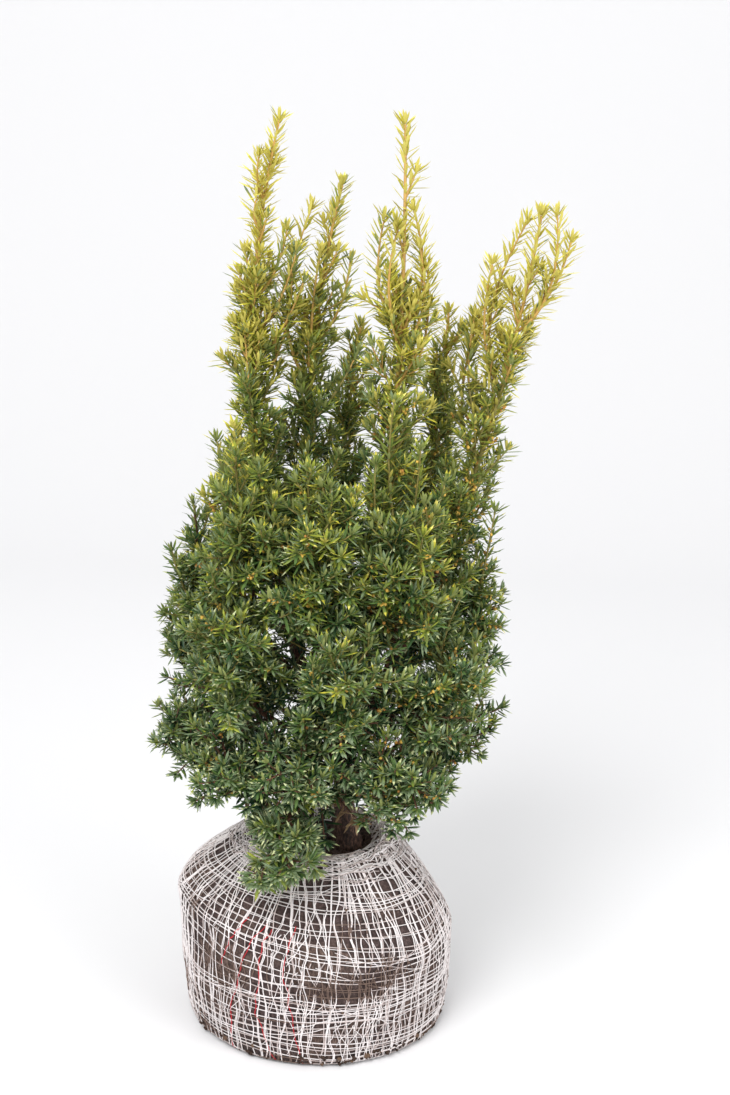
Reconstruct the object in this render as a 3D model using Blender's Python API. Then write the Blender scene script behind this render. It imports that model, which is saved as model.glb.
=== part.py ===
"""English yew with several leaders from one short trunk, on its root ball in netting.

Metres, +Z up. The origin is the middle of the root ball's flat underside.
The front of the plant faces -Y, and +X is its right-hand side seen from there.
"""
import math
import random
from collections import namedtuple

import bmesh
import bpy
import numpy as np
from mathutils import Vector

# Root ball. Its side widens from the flat foot to a shoulder, which lies higher on the left
# than on the right, and its top slopes in from there to the gathered rim.
SOIL_LEVEL = 0.150
RIM_HEIGHT = 0.162
RIM_RADIUS = 0.062
RIM_WIDTH = 0.010
RIM_ROLL = 0.002
MOUTH_RADIUS = 0.052
WIDEST_RADIUS = 0.1165
SHOULDER_HEIGHT = 0.098
SHOULDER_TILT = 0.018
FOOT_RADIUS = 0.108
FOOT_LEAN = 0.0035
FOOT_ROUNDING = 0.006
SIDE_FULLNESS = 2.4
TOP_FULLNESS = 1.5
BALL_LUMP = 0.0011
BALL_SIDES = 40
# Rings of the ball, as shares of the way up its side and up its sloping top
SIDE_RINGS = (0.0, 0.06, 0.26, 0.50, 0.74, 0.92)
TOP_RINGS = (0.04, 0.22, 0.42, 0.62, 0.82, 1.0)

# Trunk and left stem: places on their axes, and radii at foot and fork
GAP = 0.0003
WELD_DISTANCE = 2e-6
TRUNK_FOOT = (0.026, 0.002, SOIL_LEVEL + GAP)
TRUNK_WAY = (0.021, -0.001, 0.200)
TRUNK_FORK = (0.023, 0.000, 0.262)
TRUNK_RADIUS = 0.0092
FORK_RADIUS = 0.0068
LEFT_FOOT = (-0.036, 0.018, SOIL_LEVEL + GAP)
LEFT_WAY = (-0.054, 0.014, 0.186)
LEFT_FORK = (-0.078, 0.006, 0.228)
LEFT_RADIUS = 0.0062
LEFT_FORK_RADIUS = 0.0048
FLARE_HEIGHT = 0.016
FLARE_SPREAD = 0.55
FOOT_ALLOWANCE = 0.012
TRUNK_SIDES = 10
TRUNK_STEPS = 7

# Boughs, and the stems inside the foliage
BOUGH_SIDES = 5
BOUGH_STEPS = 4
BOUGH_RADIUS = 0.0052
BOUGH_TIP_RADIUS = 0.0030
STEM_TIP_RADIUS = 0.0012
FINE_STEPS = 60

# Needle sprays. Needles are larger than life in the dense lower crown.
LOW_NEEDLE = 0.027
TOP_NEEDLE = 0.0175
LOW_PITCH = 0.0170
TOP_PITCH = 0.0106
LOW_LEVEL = 0.40
TOP_LEVEL = 0.60
NEEDLE_TILT = math.radians(56.0)
END_NEEDLE = 0.6
WHORL_TWIST = math.radians(31.0)
SPRAY_SIDES = 3
SPRAY_RADIUS = 0.0020
SPRAY_TIP_RADIUS = 0.0013
SPRAY_BARE = 0.14
SHORTEST_SPRAY = 0.013
NEEDLE_SPACE = 0.0042

# Dense core of the lower masses
CORE_SIDES = 5
CORE_RINGS = 3
CORE_BEGIN = 0.14
CORE_END = 0.80
CORE_LEAST = 0.12

# Room that each mass keeps to itself
ROOM_MARGIN = 0.0015
LIMB_CLEARANCE = 0.0020
BALL_CLEARANCE = 0.0055

GOLDEN_ANGLE = math.radians(137.508)
UP = Vector((0.0, 0.0, 1.0))

# How one kind of mass grows. Its side sprays are long at the foot of the mass and short near
# its tip, and lean away from the stem by spread, in degrees. The stem carries needles itself
# from the share bare on. Core is the radius of the dense inside, and girth a share of the
# full bough radius.
Growth = namedtuple("Growth", "sprays long short spread bare core girth")
LEADER = Growth(8, 0.056, 0.016, 36, 0.30, 0.0, 1.0)
SMALL_LEADER = Growth(6, 0.046, 0.020, 38, 0.34, 0.0, 0.75)
CROWN = Growth(5, 0.054, 0.032, 54, 0.36, 0.024, 0.65)
LOW_CROWN = Growth(5, 0.052, 0.032, 58, 0.36, 0.024, 0.60)
DROOPING = Growth(6, 0.038, 0.024, 48, 0.30, 0.0, 0.60)

# One bough with its mass of foliage. The bough leaves its carrier at the height root, the
# foliage begins at the place start, and the stem inside it runs on to the place tip.
Mass = namedtuple("Mass", "name growth carrier root start tip")
FIRST_SEED = 11
MASSES = (
    Mass("left_leader", LEADER, "trunk", 0.226,
         (-0.040, 0.006, 0.385), (-0.046, 0.002, 0.752)),
    Mass("middle_leader", LEADER, "trunk", 0.259,
         (-0.006, 0.012, 0.370), (0.004, 0.028, 0.703)),
    Mass("tall_leader", LEADER, "trunk", 0.243,
         (0.037, -0.028, 0.350), (0.051, -0.048, 0.753)),
    Mass("right_leader", LEADER, "trunk", 0.234,
         (0.082, -0.008, 0.372), (0.160, -0.010, 0.687)),
    Mass("small_leader", SMALL_LEADER, "right_leader", 0.300,
         (0.074, 0.036, 0.400), (0.094, 0.050, 0.602)),
    Mass("back_leader", SMALL_LEADER, "trunk", 0.250,
         (0.010, 0.060, 0.390), (0.022, 0.076, 0.585)),
    Mass("left_side_leader", SMALL_LEADER, "left_stem", 0.224,
         (-0.092, 0.004, 0.310), (-0.108, -0.006, 0.446)),
    Mass("front_crown", CROWN, "trunk", 0.236,
         (0.003, -0.059, 0.350), (-0.004, -0.092, 0.446)),
    Mass("front_left_crown", CROWN, "left_leader", 0.290,
         (-0.046, -0.042, 0.350), (-0.058, -0.072, 0.446)),
    Mass("front_right_crown", CROWN, "right_leader", 0.262,
         (0.056, -0.056, 0.345), (0.064, -0.084, 0.440)),
    Mass("back_right_crown", CROWN, "back_leader", 0.300,
         (0.056, 0.082, 0.370), (0.072, 0.098, 0.456)),
    Mass("back_left_crown", CROWN, "left_leader", 0.280,
         (-0.046, 0.062, 0.360), (-0.062, 0.084, 0.460)),
    Mass("mid_front", CROWN, "trunk", 0.222,
         (0.010, -0.072, 0.270), (0.022, -0.108, 0.344)),
    Mass("mid_front_right", CROWN, "trunk", 0.214,
         (0.068, -0.056, 0.268), (0.102, -0.076, 0.330)),
    Mass("mid_right", CROWN, "right_leader", 0.254,
         (0.104, 0.012, 0.308), (0.128, 0.014, 0.390)),
    Mass("mid_back_right", CROWN, "trunk", 0.232,
         (0.064, 0.068, 0.280), (0.084, 0.094, 0.350)),
    Mass("mid_back", CROWN, "back_leader", 0.272,
         (-0.008, 0.088, 0.300), (-0.016, 0.112, 0.362)),
    Mass("mid_left", CROWN, "left_stem", 0.218,
         (-0.094, 0.034, 0.272), (-0.114, 0.044, 0.336)),
    Mass("mid_front_left", CROWN, "left_leader", 0.252,
         (-0.052, -0.058, 0.294), (-0.072, -0.090, 0.364)),
    Mass("low_front", DROOPING, "trunk", 0.190,
         (-0.012, -0.062, 0.216), (-0.032, -0.106, 0.182)),
    Mass("low_middle", LOW_CROWN, "trunk", 0.183,
         (-0.006, -0.058, 0.234), (-0.012, -0.104, 0.264)),
    Mass("low_front_left", LOW_CROWN, "left_stem", 0.198,
         (-0.060, -0.046, 0.224), (-0.074, -0.084, 0.254)),
    Mass("low_left", LOW_CROWN, "left_stem", 0.209,
         (-0.096, 0.004, 0.228), (-0.116, -0.006, 0.258)),
    Mass("low_back_left", LOW_CROWN, "left_stem", 0.188,
         (-0.062, 0.060, 0.222), (-0.076, 0.094, 0.262)),
    Mass("low_back", LOW_CROWN, "trunk", 0.202,
         (0.018, 0.068, 0.222), (0.012, 0.108, 0.256)),
    Mass("low_back_right", LOW_CROWN, "trunk", 0.209,
         (0.074, 0.050, 0.222), (0.098, 0.072, 0.258)),
    Mass("low_right", LOW_CROWN, "trunk", 0.198,
         (0.086, -0.012, 0.230), (0.111, -0.020, 0.271)),
    Mass("low_front_right", LOW_CROWN, "trunk", 0.204,
         (0.054, -0.066, 0.224), (0.068, -0.100, 0.256)),
)

# Tall side shoots: the share of the stem where each grows, and the place where it ends.
Twin = namedtuple("Twin", "mass share tip")
TWIN_RISE = 0.45
TWINS = (
    Twin("middle_leader", 0.52, (-0.020, 0.026, 0.684)),
    Twin("right_leader", 0.56, (0.150, -0.004, 0.682)),
    Twin("right_leader", 0.74, (0.184, -0.012, 0.668)),
    Twin("right_leader", 0.36, (0.122, -0.002, 0.622)),
    Twin("right_leader", 0.06, (0.134, 0.006, 0.480)),
    Twin("tall_leader", 0.62, (0.038, -0.056, 0.684)),
    Twin("tall_leader", 0.58, (0.066, -0.056, 0.662)),
    Twin("left_leader", 0.30, (-0.070, -0.006, 0.594)),
    Twin("left_leader", 0.42, (-0.034, 0.004, 0.650)),
    Twin("left_leader", 0.06, (-0.090, -0.008, 0.500)),
    Twin("left_side_leader", 0.30, (-0.124, -0.020, 0.410)),
)


def clear_scene():
    for thing in list(bpy.data.objects):
        bpy.data.objects.remove(thing, do_unlink=True)


def plain_material(name, colour, roughness):
    material = bpy.data.materials.new(name)
    material.use_nodes = True
    shader = material.node_tree.nodes["Principled BSDF"]
    shader.inputs["Base Color"].default_value = (*colour, 1.0)
    shader.inputs["Roughness"].default_value = roughness
    shader.inputs["Metallic"].default_value = 0.0
    return material


# Curves and lines of places

def curve_control(first, middle, last):
    """Control place of the quadratic curve from first to last that passes through middle."""
    near = (middle - first).length
    share = near / (near + (last - middle).length)
    rest = 1.0 - share
    control = (middle - first * rest ** 2 - last * share ** 2) / (2.0 * share * rest)
    return control, share


def curve_places(first, control, last, begin, end, steps):
    """Places on a quadratic curve, between two shares of it."""
    places = []
    for step in range(steps + 1):
        share = begin + (end - begin) * step / steps
        rest = 1.0 - share
        place = first * rest ** 2 + control * (2.0 * share * rest) + last * share ** 2
        places.append(place)
    return places


def run_lengths(places):
    """Distance along a line of places, from its first one."""
    lengths = [0.0]
    for near, far in zip(places, places[1:]):
        lengths.append(lengths[-1] + (far - near).length)
    return lengths


def even_places(places, count):
    """The same line with count + 1 places at equal distances."""
    lengths = run_lengths(places)
    even = []
    index = 0
    for step in range(count + 1):
        target = lengths[-1] * step / count
        while index < len(lengths) - 2 and lengths[index + 1] < target:
            index += 1
        span = lengths[index + 1] - lengths[index]
        even.append(places[index].lerp(places[index + 1], (target - lengths[index]) / span))
    return even


def line_frames(places, twist=0.0):
    """Direction and two side vectors at each place, carried along without a jump."""
    frames = []
    side = None
    for index in range(len(places)):
        before = places[max(index - 1, 0)]
        after = places[min(index + 1, len(places) - 1)]
        direction = (after - before).normalized()
        if side is None:
            side = direction.orthogonal().normalized()
        side = (side - direction * side.dot(direction)).normalized()
        across = direction.cross(side)
        angle = twist * index
        turned = side * math.cos(angle) + across * math.sin(angle)
        frames.append((direction, turned, direction.cross(turned)))
    return frames


def tapered(places, root_radius, tip_radius):
    """Radius at each place of a limb that tapers evenly."""
    lengths = run_lengths(places)
    return [root_radius + (tip_radius - root_radius) * run / lengths[-1] for run in lengths]


def flared(places, foot_radius, fork_radius):
    """Even taper with a root flare just above the soil."""
    radii = []
    for run, radius in zip(run_lengths(places), tapered(places, foot_radius, fork_radius)):
        radii.append(radius * (1.0 + FLARE_SPREAD * math.exp(-run / FLARE_HEIGHT)))
    return radii


def by_level(low, top, height):
    """A size that goes from its low to its top value between the two levels."""
    share = (height - LOW_LEVEL) / (TOP_LEVEL - LOW_LEVEL)
    return low + (top - low) * min(max(share, 0.0), 1.0)


# Mesh building

def finish_object(name, builder, material):
    """Makes the named object from a bmesh, with its faces turned outwards."""
    bmesh.ops.recalc_face_normals(builder, faces=builder.faces)
    mesh = bpy.data.meshes.new(name)
    builder.to_mesh(mesh)
    builder.free()
    mesh.materials.append(material)
    thing = bpy.data.objects.new(name, mesh)
    bpy.context.scene.collection.objects.link(thing)
    return thing


def add_rings(builder, places, radii, sides, twist=0.0):
    """Rings of vertices along the places, closed by a face at each end."""
    rings = []
    for place, radius, frame in zip(places, radii, line_frames(places, twist)):
        ring = []
        for side in range(sides):
            angle = 2.0 * math.pi * side / sides
            offset = frame[1] * math.cos(angle) + frame[2] * math.sin(angle)
            ring.append(builder.verts.new(place + offset * radius))
        rings.append(ring)
    builder.faces.new(list(reversed(rings[0])))
    builder.faces.new(rings[-1])
    return rings


def ring_patches(lower, upper):
    """The four corners of each face between two rings."""
    sides = len(lower)
    for side in range(sides):
        following = (side + 1) % sides
        yield lower[side], lower[following], upper[following], upper[side]


def tube_object(name, places, radii, sides, material):
    builder = bmesh.new()
    rings = add_rings(builder, places, radii, sides)
    for lower, upper in zip(rings, rings[1:]):
        for patch in ring_patches(lower, upper):
            builder.faces.new(patch)
    return finish_object(name, builder, material)


def add_needle(builder, patch, axis, direction, line, room):
    """Draws a face out into a needle that leans forward, or leaves it flat for want of room."""
    middle = sum((corner.co for corner in patch), Vector()) / len(patch)
    outward = middle - axis
    outward = (outward - direction * outward.dot(direction)).normalized()
    lean = outward * math.sin(NEEDLE_TILT) + direction * math.cos(NEEDLE_TILT)
    apex = middle + lean * by_level(LOW_NEEDLE, TOP_NEEDLE, axis.z)
    if not room.take_needle(line, middle, apex):
        builder.faces.new(patch)
        return
    point = builder.verts.new(apex)
    for corner in range(len(patch)):
        builder.faces.new((patch[corner], patch[(corner + 1) % len(patch)], point))


def spray_object(name, line, bare, root_radius, tip_radius, room, material):
    """A tapering twig whose sides are drawn out into needles past its bare share."""
    places = line.places
    total = len(places) - 1
    radii = tapered(places, root_radius, tip_radius)
    builder = bmesh.new()
    frames = line_frames(places, WHORL_TWIST)
    rings = add_rings(builder, places, radii, SPRAY_SIDES, WHORL_TWIST)
    for index in range(total):
        axis = (places[index] + places[index + 1]) / 2.0
        for patch in ring_patches(rings[index], rings[index + 1]):
            if index < bare * total:
                builder.faces.new(patch)
            else:
                add_needle(builder, patch, axis, frames[index][0], line, room)
    draw_out_end(builder, rings[-1], places[-1], frames[-1][0], room)
    return finish_object(name, builder, material)


def draw_out_end(builder, last_ring, place, direction, room):
    """Turns the end of a twig into its foremost needle."""
    apex = place + direction * by_level(LOW_NEEDLE, TOP_NEEDLE, place.z) * END_NEEDLE
    if not room.allows(apex):
        return
    cap = [face for face in last_ring[0].link_faces
           if all(corner in last_ring for corner in face.verts)]
    bmesh.ops.delete(builder, geom=cap, context="FACES_ONLY")
    point = builder.verts.new(apex)
    for side in range(len(last_ring)):
        builder.faces.new((last_ring[side], last_ring[(side + 1) % len(last_ring)], point))


def apply_modifiers(thing):
    bpy.context.view_layer.update()
    graph = bpy.context.evaluated_depsgraph_get()
    finished = bpy.data.meshes.new_from_object(thing.evaluated_get(graph))
    old_mesh = thing.data
    thing.modifiers.clear()
    thing.data = finished
    bpy.data.meshes.remove(old_mesh)
    finished.name = thing.name


def subtract(thing, cutter):
    modifier = thing.modifiers.new("clearance", "BOOLEAN")
    modifier.operation = "DIFFERENCE"
    modifier.solver = "EXACT"
    modifier.object = cutter
    apply_modifiers(thing)


def join_all(thing, helpers):
    """Fuses the helper objects into the thing and removes them.

    MANIFOLD does it, because EXACT leaves loose scraps where many needles cross.
    """
    helper = bpy.data.collections.new("helpers")
    bpy.context.scene.collection.children.link(helper)
    for part in helpers:
        bpy.context.scene.collection.objects.unlink(part)
        helper.objects.link(part)
    modifier = thing.modifiers.new("join", "BOOLEAN")
    modifier.operation = "UNION"
    modifier.solver = "MANIFOLD"
    modifier.operand_type = "COLLECTION"
    modifier.collection = helper
    apply_modifiers(thing)
    for part in helpers:
        bpy.data.objects.remove(part, do_unlink=True)
    bpy.data.collections.remove(helper)


def keep_largest_body(thing):
    """Drops loose scraps, and fills a hollow that fusing has sealed."""
    builder = bmesh.new()
    builder.from_mesh(thing.data)
    bmesh.ops.triangulate(builder, faces=builder.faces)
    bmesh.ops.remove_doubles(builder, verts=builder.verts, dist=WELD_DISTANCE)
    unseen = set(builder.faces)
    bodies = []
    for first in builder.faces:
        if first not in unseen:
            continue
        unseen.remove(first)
        body = [first]
        waiting = [first]
        while waiting:
            joints = [edge for edge in waiting.pop().edges if len(edge.link_faces) == 2]
            for edge in joints:
                for face in edge.link_faces:
                    if face in unseen:
                        unseen.remove(face)
                        body.append(face)
                        waiting.append(face)
        bodies.append(body)
    bodies.sort(key=len)
    spare = [face for body in bodies[:-1] for face in body]
    bmesh.ops.delete(builder, geom=spare, context="FACES")
    bmesh.ops.recalc_face_normals(builder, faces=builder.faces)
    builder.to_mesh(thing.data)
    builder.free()


# Root ball

def shoulder_at(angle):
    """Height of the ball's shoulder on one side of it."""
    return SHOULDER_HEIGHT - SHOULDER_TILT * math.cos(angle)


def ball_radius_at(angle, height):
    """Radius of the netted ball at a height, without its lumps."""
    shoulder = shoulder_at(angle)
    if height < shoulder:
        foot = FOOT_RADIUS + FOOT_LEAN * math.cos(angle)
        share = (1.0 - height / shoulder) ** SIDE_FULLNESS
        rounding = FOOT_ROUNDING * max(1.0 - height / FOOT_ROUNDING, 0.0) ** 2
        return WIDEST_RADIUS - (WIDEST_RADIUS - foot) * share - rounding
    share = min((height - shoulder) / (RIM_HEIGHT - RIM_ROLL - shoulder), 1.0)
    return RIM_RADIUS + (WIDEST_RADIUS - RIM_RADIUS) * (1.0 - share ** TOP_FULLNESS)


def ball_lump(angle, height):
    """Uneven swell of the soil inside the net, fading out at the foot and the rim."""
    fade = math.sin(math.pi * min(height / RIM_HEIGHT, 1.0))
    swell = math.sin(3.0 * angle + 0.7 + 14.0 * height)
    swell += 0.7 * math.sin(5.0 * angle + 2.1 - 30.0 * height)
    swell += 0.7 * math.sin(9.0 * angle + 1.3 + 70.0 * height)
    swell += 0.6 * math.sin(12.0 * angle + 0.4 - 110.0 * height)
    return BALL_LUMP * fade * swell


def build_root_ball(material):
    """Lumpy ball with a flat foot, and a gathered rim round the bare soil at its top."""
    builder = bmesh.new()
    columns = []
    for side in range(BALL_SIDES):
        angle = 2.0 * math.pi * side / BALL_SIDES
        shoulder = shoulder_at(angle)
        top = RIM_HEIGHT - RIM_ROLL - shoulder
        heights = [shoulder * share for share in SIDE_RINGS]
        heights += [shoulder + top * share for share in TOP_RINGS]
        rows = [(ball_radius_at(angle, height) + ball_lump(angle, height), height)
                for height in heights]
        rows.append((RIM_RADIUS - RIM_WIDTH / 2.0, RIM_HEIGHT))
        rows.append((MOUTH_RADIUS, SOIL_LEVEL))
        column = []
        for reach, height in rows:
            place = (reach * math.cos(angle), reach * math.sin(angle), height)
            column.append(builder.verts.new(place))
        columns.append(column)
    rings = list(zip(*columns))
    for lower, upper in zip(rings, rings[1:]):
        for patch in ring_patches(lower, upper):
            builder.faces.new(patch)
    builder.faces.new(list(reversed(rings[0])))
    builder.faces.new(rings[-1])
    return finish_object("root_ball", builder, material)


# Trunk, left stem and boughs

Limb = namedtuple("Limb", "places radii sides steps")


def carrier_limb(foot, way, fork, foot_radius, fork_radius):
    control, _ = curve_control(Vector(foot), Vector(way), Vector(fork))
    places = curve_places(Vector(foot), control, Vector(fork), 0.0, 1.0, FINE_STEPS)
    radii = flared(places, foot_radius, fork_radius)
    return Limb(places, radii, TRUNK_SIDES, TRUNK_STEPS)


def grown_limbs():
    """Every limb by name, and the stem that carries each mass of foliage."""
    limbs = {
        "trunk": carrier_limb(TRUNK_FOOT, TRUNK_WAY, TRUNK_FORK, TRUNK_RADIUS, FORK_RADIUS),
        "left_stem": carrier_limb(LEFT_FOOT, LEFT_WAY, LEFT_FORK, LEFT_RADIUS,
                                  LEFT_FORK_RADIUS),
    }
    stems = {}
    for mass in MASSES:
        carrier = limbs[mass.carrier].places
        root = min(carrier, key=lambda place: abs(place.z - mass.root))
        control, share = curve_control(root, Vector(mass.start), Vector(mass.tip))
        places = curve_places(root, control, Vector(mass.tip), 0.0, share, FINE_STEPS)
        girth = mass.growth.girth
        radii = tapered(places, BOUGH_RADIUS * girth, BOUGH_TIP_RADIUS * girth)
        limbs[mass.name] = Limb(places, radii, BOUGH_SIDES, BOUGH_STEPS)
        inner = curve_places(root, control, Vector(mass.tip), share, 1.0, FINE_STEPS)
        inner[0] = inner[0] + (inner[1] - inner[0]).normalized() * GAP
        stems[mass.name] = even_places(inner, FINE_STEPS)
    return limbs, stems


def limb_object(name, limb, material, extra=0.0):
    """The limb's own shape, thicker and longer by extra where it serves to cut another."""
    step = FINE_STEPS // limb.steps
    chosen = list(range(0, FINE_STEPS, step))[:limb.steps] + [FINE_STEPS]
    places = [limb.places[index] for index in chosen]
    radii = [limb.radii[index] + extra for index in chosen]
    places[-1] = places[-1] + (places[-1] - places[-2]).normalized() * extra
    return tube_object(name, places, radii, limb.sides, material)


def build_carrier(name, limb, material):
    """Trunk or left stem, from its flat foot on the soil to its fork."""
    start = limb.places[0] - (limb.places[1] - limb.places[0]).normalized() * FOOT_ALLOWANCE
    longer = Limb([start] + limb.places[1:], limb.radii, limb.sides, limb.steps)
    thing = limb_object(name, longer, material)
    builder = bmesh.new()
    builder.from_mesh(thing.data)
    geometry = builder.verts[:] + builder.edges[:] + builder.faces[:]
    cut = bmesh.ops.bisect_plane(builder, geom=geometry, plane_co=(0.0, 0.0, SOIL_LEVEL + GAP),
                                 plane_no=(0.0, 0.0, 1.0), clear_inner=True)
    rim = [part for part in cut["geom_cut"] if isinstance(part, bmesh.types.BMEdge)]
    bmesh.ops.edgeloop_fill(builder, edges=rim)
    bmesh.ops.recalc_face_normals(builder, faces=builder.faces)
    builder.to_mesh(thing.data)
    builder.free()
    return thing


def limbs_meet(limb, other):
    """Whether two limbs come closer than the gap between their surfaces."""
    for place, radius in zip(limb.places, limb.radii):
        for spot, spot_radius in zip(other.places[::3], other.radii[::3]):
            if (place - spot).length < radius + spot_radius + GAP * 3.0:
                return True
    return False


def build_boughs(limbs, material):
    """Each bough, cut clear of its carrier and of the boughs that grow beside its root."""
    done = ["trunk", "left_stem"]
    for mass in MASSES:
        bough = limb_object(mass.name + "_bough", limbs[mass.name], material)
        for name in done:
            if limbs_meet(limbs[mass.name], limbs[name]):
                cutter = limb_object("cutter", limbs[name], material, GAP)
                cutter.hide_render = True
                cutter.display_type = "WIRE"
                subtract(bough, cutter)
                bpy.data.objects.remove(cutter, do_unlink=True)
        keep_largest_body(bough)
        done.append(mass.name)


# Foliage

class Line:
    """A twig's line of places, with the places that its needles have taken."""

    def __init__(self, places):
        self.places = places
        self.taken = [place[:] for place in places]


class Room:
    """The space of one mass: nearer its own stem than any other, clear of limbs and ball."""

    def __init__(self, name, limbs, stems):
        self.own = np.array([place[:] for place in stems[name]])
        self.others = np.array([place[:] for key in stems if key != name
                                for place in stems[key][::2]])
        self.limb_places = np.array([place[:] for limb in limbs.values()
                                     for place in limb.places])
        self.limb_radii = np.array([radius for limb in limbs.values() for radius in limb.radii])
        self.lines = []

    @staticmethod
    def distances(places, place):
        return np.sqrt(((places - np.array(place[:])) ** 2).sum(axis=1))

    def allows(self, place):
        own = self.distances(self.own, place).min()
        if own + ROOM_MARGIN > self.distances(self.others, place).min():
            return False
        clear = (self.distances(self.limb_places, place) - self.limb_radii).min()
        if clear < LIMB_CLEARANCE:
            return False
        if place[2] > RIM_HEIGHT + BALL_CLEARANCE:
            return True
        ball = ball_radius_at(math.atan2(place[1], place[0]), place[2])
        return math.hypot(place[0], place[1]) > ball + BALL_CLEARANCE

    def take_needle(self, line, root, apex):
        """Takes the needle's space, unless it is another twig's or outside the room."""
        if not self.allows(apex) or not self.allows(root.lerp(apex, 0.6)):
            return False
        marks = [root.lerp(apex, share) for share in (0.35, 0.7, 1.0)]
        for other in self.lines:
            if other is line:
                continue
            taken = np.array(other.taken)
            for mark in marks:
                if self.distances(taken, mark).min() < NEEDLE_SPACE:
                    return False
        line.taken.extend(mark[:] for mark in marks)
        return True


def side_lines(mass, stem):
    """Lines of the side sprays, by the golden-angle rule."""
    dice = random.Random(FIRST_SEED + MASSES.index(mass))
    growth = mass.growth
    frames = line_frames(stem)
    phase = dice.uniform(0.0, 2.0 * math.pi)
    lines = []
    for index in range(growth.sprays):
        share = 0.06 + 0.84 * (index + dice.uniform(0.2, 0.8)) / growth.sprays
        spot = round(share * FINE_STEPS)
        forward, side, across = frames[spot]
        angle = phase + GOLDEN_ANGLE * index + dice.uniform(-0.3, 0.3)
        outward = side * math.cos(angle) + across * math.sin(angle)
        tilt = math.radians(growth.spread) * (1.15 - 0.45 * share) * dice.uniform(0.88, 1.12)
        direction = outward * math.sin(tilt) + forward * math.cos(tilt)
        length = growth.long + (growth.short - growth.long) * share
        length *= dice.uniform(0.85, 1.12)
        lift = 0.55 if share < 0.5 else 0.35
        control = stem[spot] + direction * length * 0.5
        tip = control + (direction + UP * lift).normalized() * length * 0.5
        lines.append(curve_places(stem[spot], control, tip, 0.0, 1.0, FINE_STEPS))
    return lines


def twin_lines(mass, stem):
    """Lines of the tall side shoots that this mass has."""
    frames = line_frames(stem)
    lines = []
    for twin in TWINS:
        if twin.mass != mass.name:
            continue
        spot = round(twin.share * FINE_STEPS)
        forward = frames[spot][0]
        tip = Vector(twin.tip)
        aim = tip - stem[spot]
        outward = (aim - forward * aim.dot(forward)).normalized()
        control = stem[spot] + (outward + forward).normalized() * aim.length * TWIN_RISE
        lines.append(curve_places(stem[spot], control, tip, 0.0, 1.0, FINE_STEPS))
    return lines


def clear_part(places, room):
    """The part of a side shoot, from its root on, that stays in its own room."""
    kept = 1
    while kept < len(places) and (kept < 5 or room.allows(places[kept])):
        kept += 1
    return places[:kept]


def with_whorls(places):
    """A line with one place for each whorl of needles."""
    pitch = by_level(LOW_PITCH, TOP_PITCH, places[0].z)
    return even_places(places, max(2, round(run_lengths(places)[-1] / pitch)))


def core_object(mass, stem, room, material):
    """Dense inside of a mass, set with needles, and drawn in where it would leave its room."""
    spots = []
    for ring in range(CORE_RINGS + 2):
        share = CORE_BEGIN + (CORE_END - CORE_BEGIN) * ring / (CORE_RINGS + 1)
        spots.append(round(share * FINE_STEPS))
    frames = line_frames(stem)
    builder = bmesh.new()
    rings = []
    for ring, spot in enumerate(spots[1:-1]):
        full = mass.growth.core * math.sin(math.pi * (ring + 1) / (CORE_RINGS + 1)) ** 0.7
        corners = []
        for side in range(CORE_SIDES):
            angle = 2.0 * math.pi * (side + 0.5 * (ring % 2)) / CORE_SIDES
            outward = frames[spot][1] * math.cos(angle) + frames[spot][2] * math.sin(angle)
            share = 1.0
            while share > CORE_LEAST and not room.allows(stem[spot] + outward * full * share):
                share -= 0.11
            corners.append(builder.verts.new(stem[spot] + outward * full * max(share, CORE_LEAST)))
        rings.append(corners)
    line = Line([stem[spot] for spot in spots])
    for index, (lower, upper) in enumerate(zip(rings, rings[1:])):
        axis = (line.places[index + 1] + line.places[index + 2]) / 2.0
        for patch in ring_patches(lower, upper):
            add_needle(builder, patch, axis, frames[spots[index + 1]][0], line, room)
    for ring, spot in ((rings[0], spots[0]), (rings[-1], spots[-1])):
        pole = builder.verts.new(stem[spot])
        for side in range(CORE_SIDES):
            patch = (ring[side], ring[(side + 1) % CORE_SIDES], pole)
            add_needle(builder, patch, stem[spot], frames[spot][0], line, room)
    return finish_object("core", builder, material)


def build_mass(mass, limbs, stems, material):
    """One stem with its side sprays and its core, joined into a single solid."""
    room = Room(mass.name, limbs, stems)
    stem = stems[mass.name]
    main = Line(with_whorls(stem))
    sides = []
    for places in side_lines(mass, stem) + twin_lines(mass, stem):
        kept = clear_part(places, room)
        if run_lengths(kept)[-1] >= SHORTEST_SPRAY:
            sides.append(Line(with_whorls(kept)))
    room.lines = [main] + sides
    growth = mass.growth
    thing = spray_object(mass.name, main, growth.bare, BOUGH_TIP_RADIUS * growth.girth,
                         STEM_TIP_RADIUS, room, material)
    helpers = []
    for line in sides:
        helpers.append(spray_object("spray", line, SPRAY_BARE, SPRAY_RADIUS, SPRAY_TIP_RADIUS,
                                    room, material))
    if growth.core > 0.0:
        helpers.append(core_object(mass, stem, room, material))
    join_all(thing, helpers)
    keep_largest_body(thing)


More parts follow.
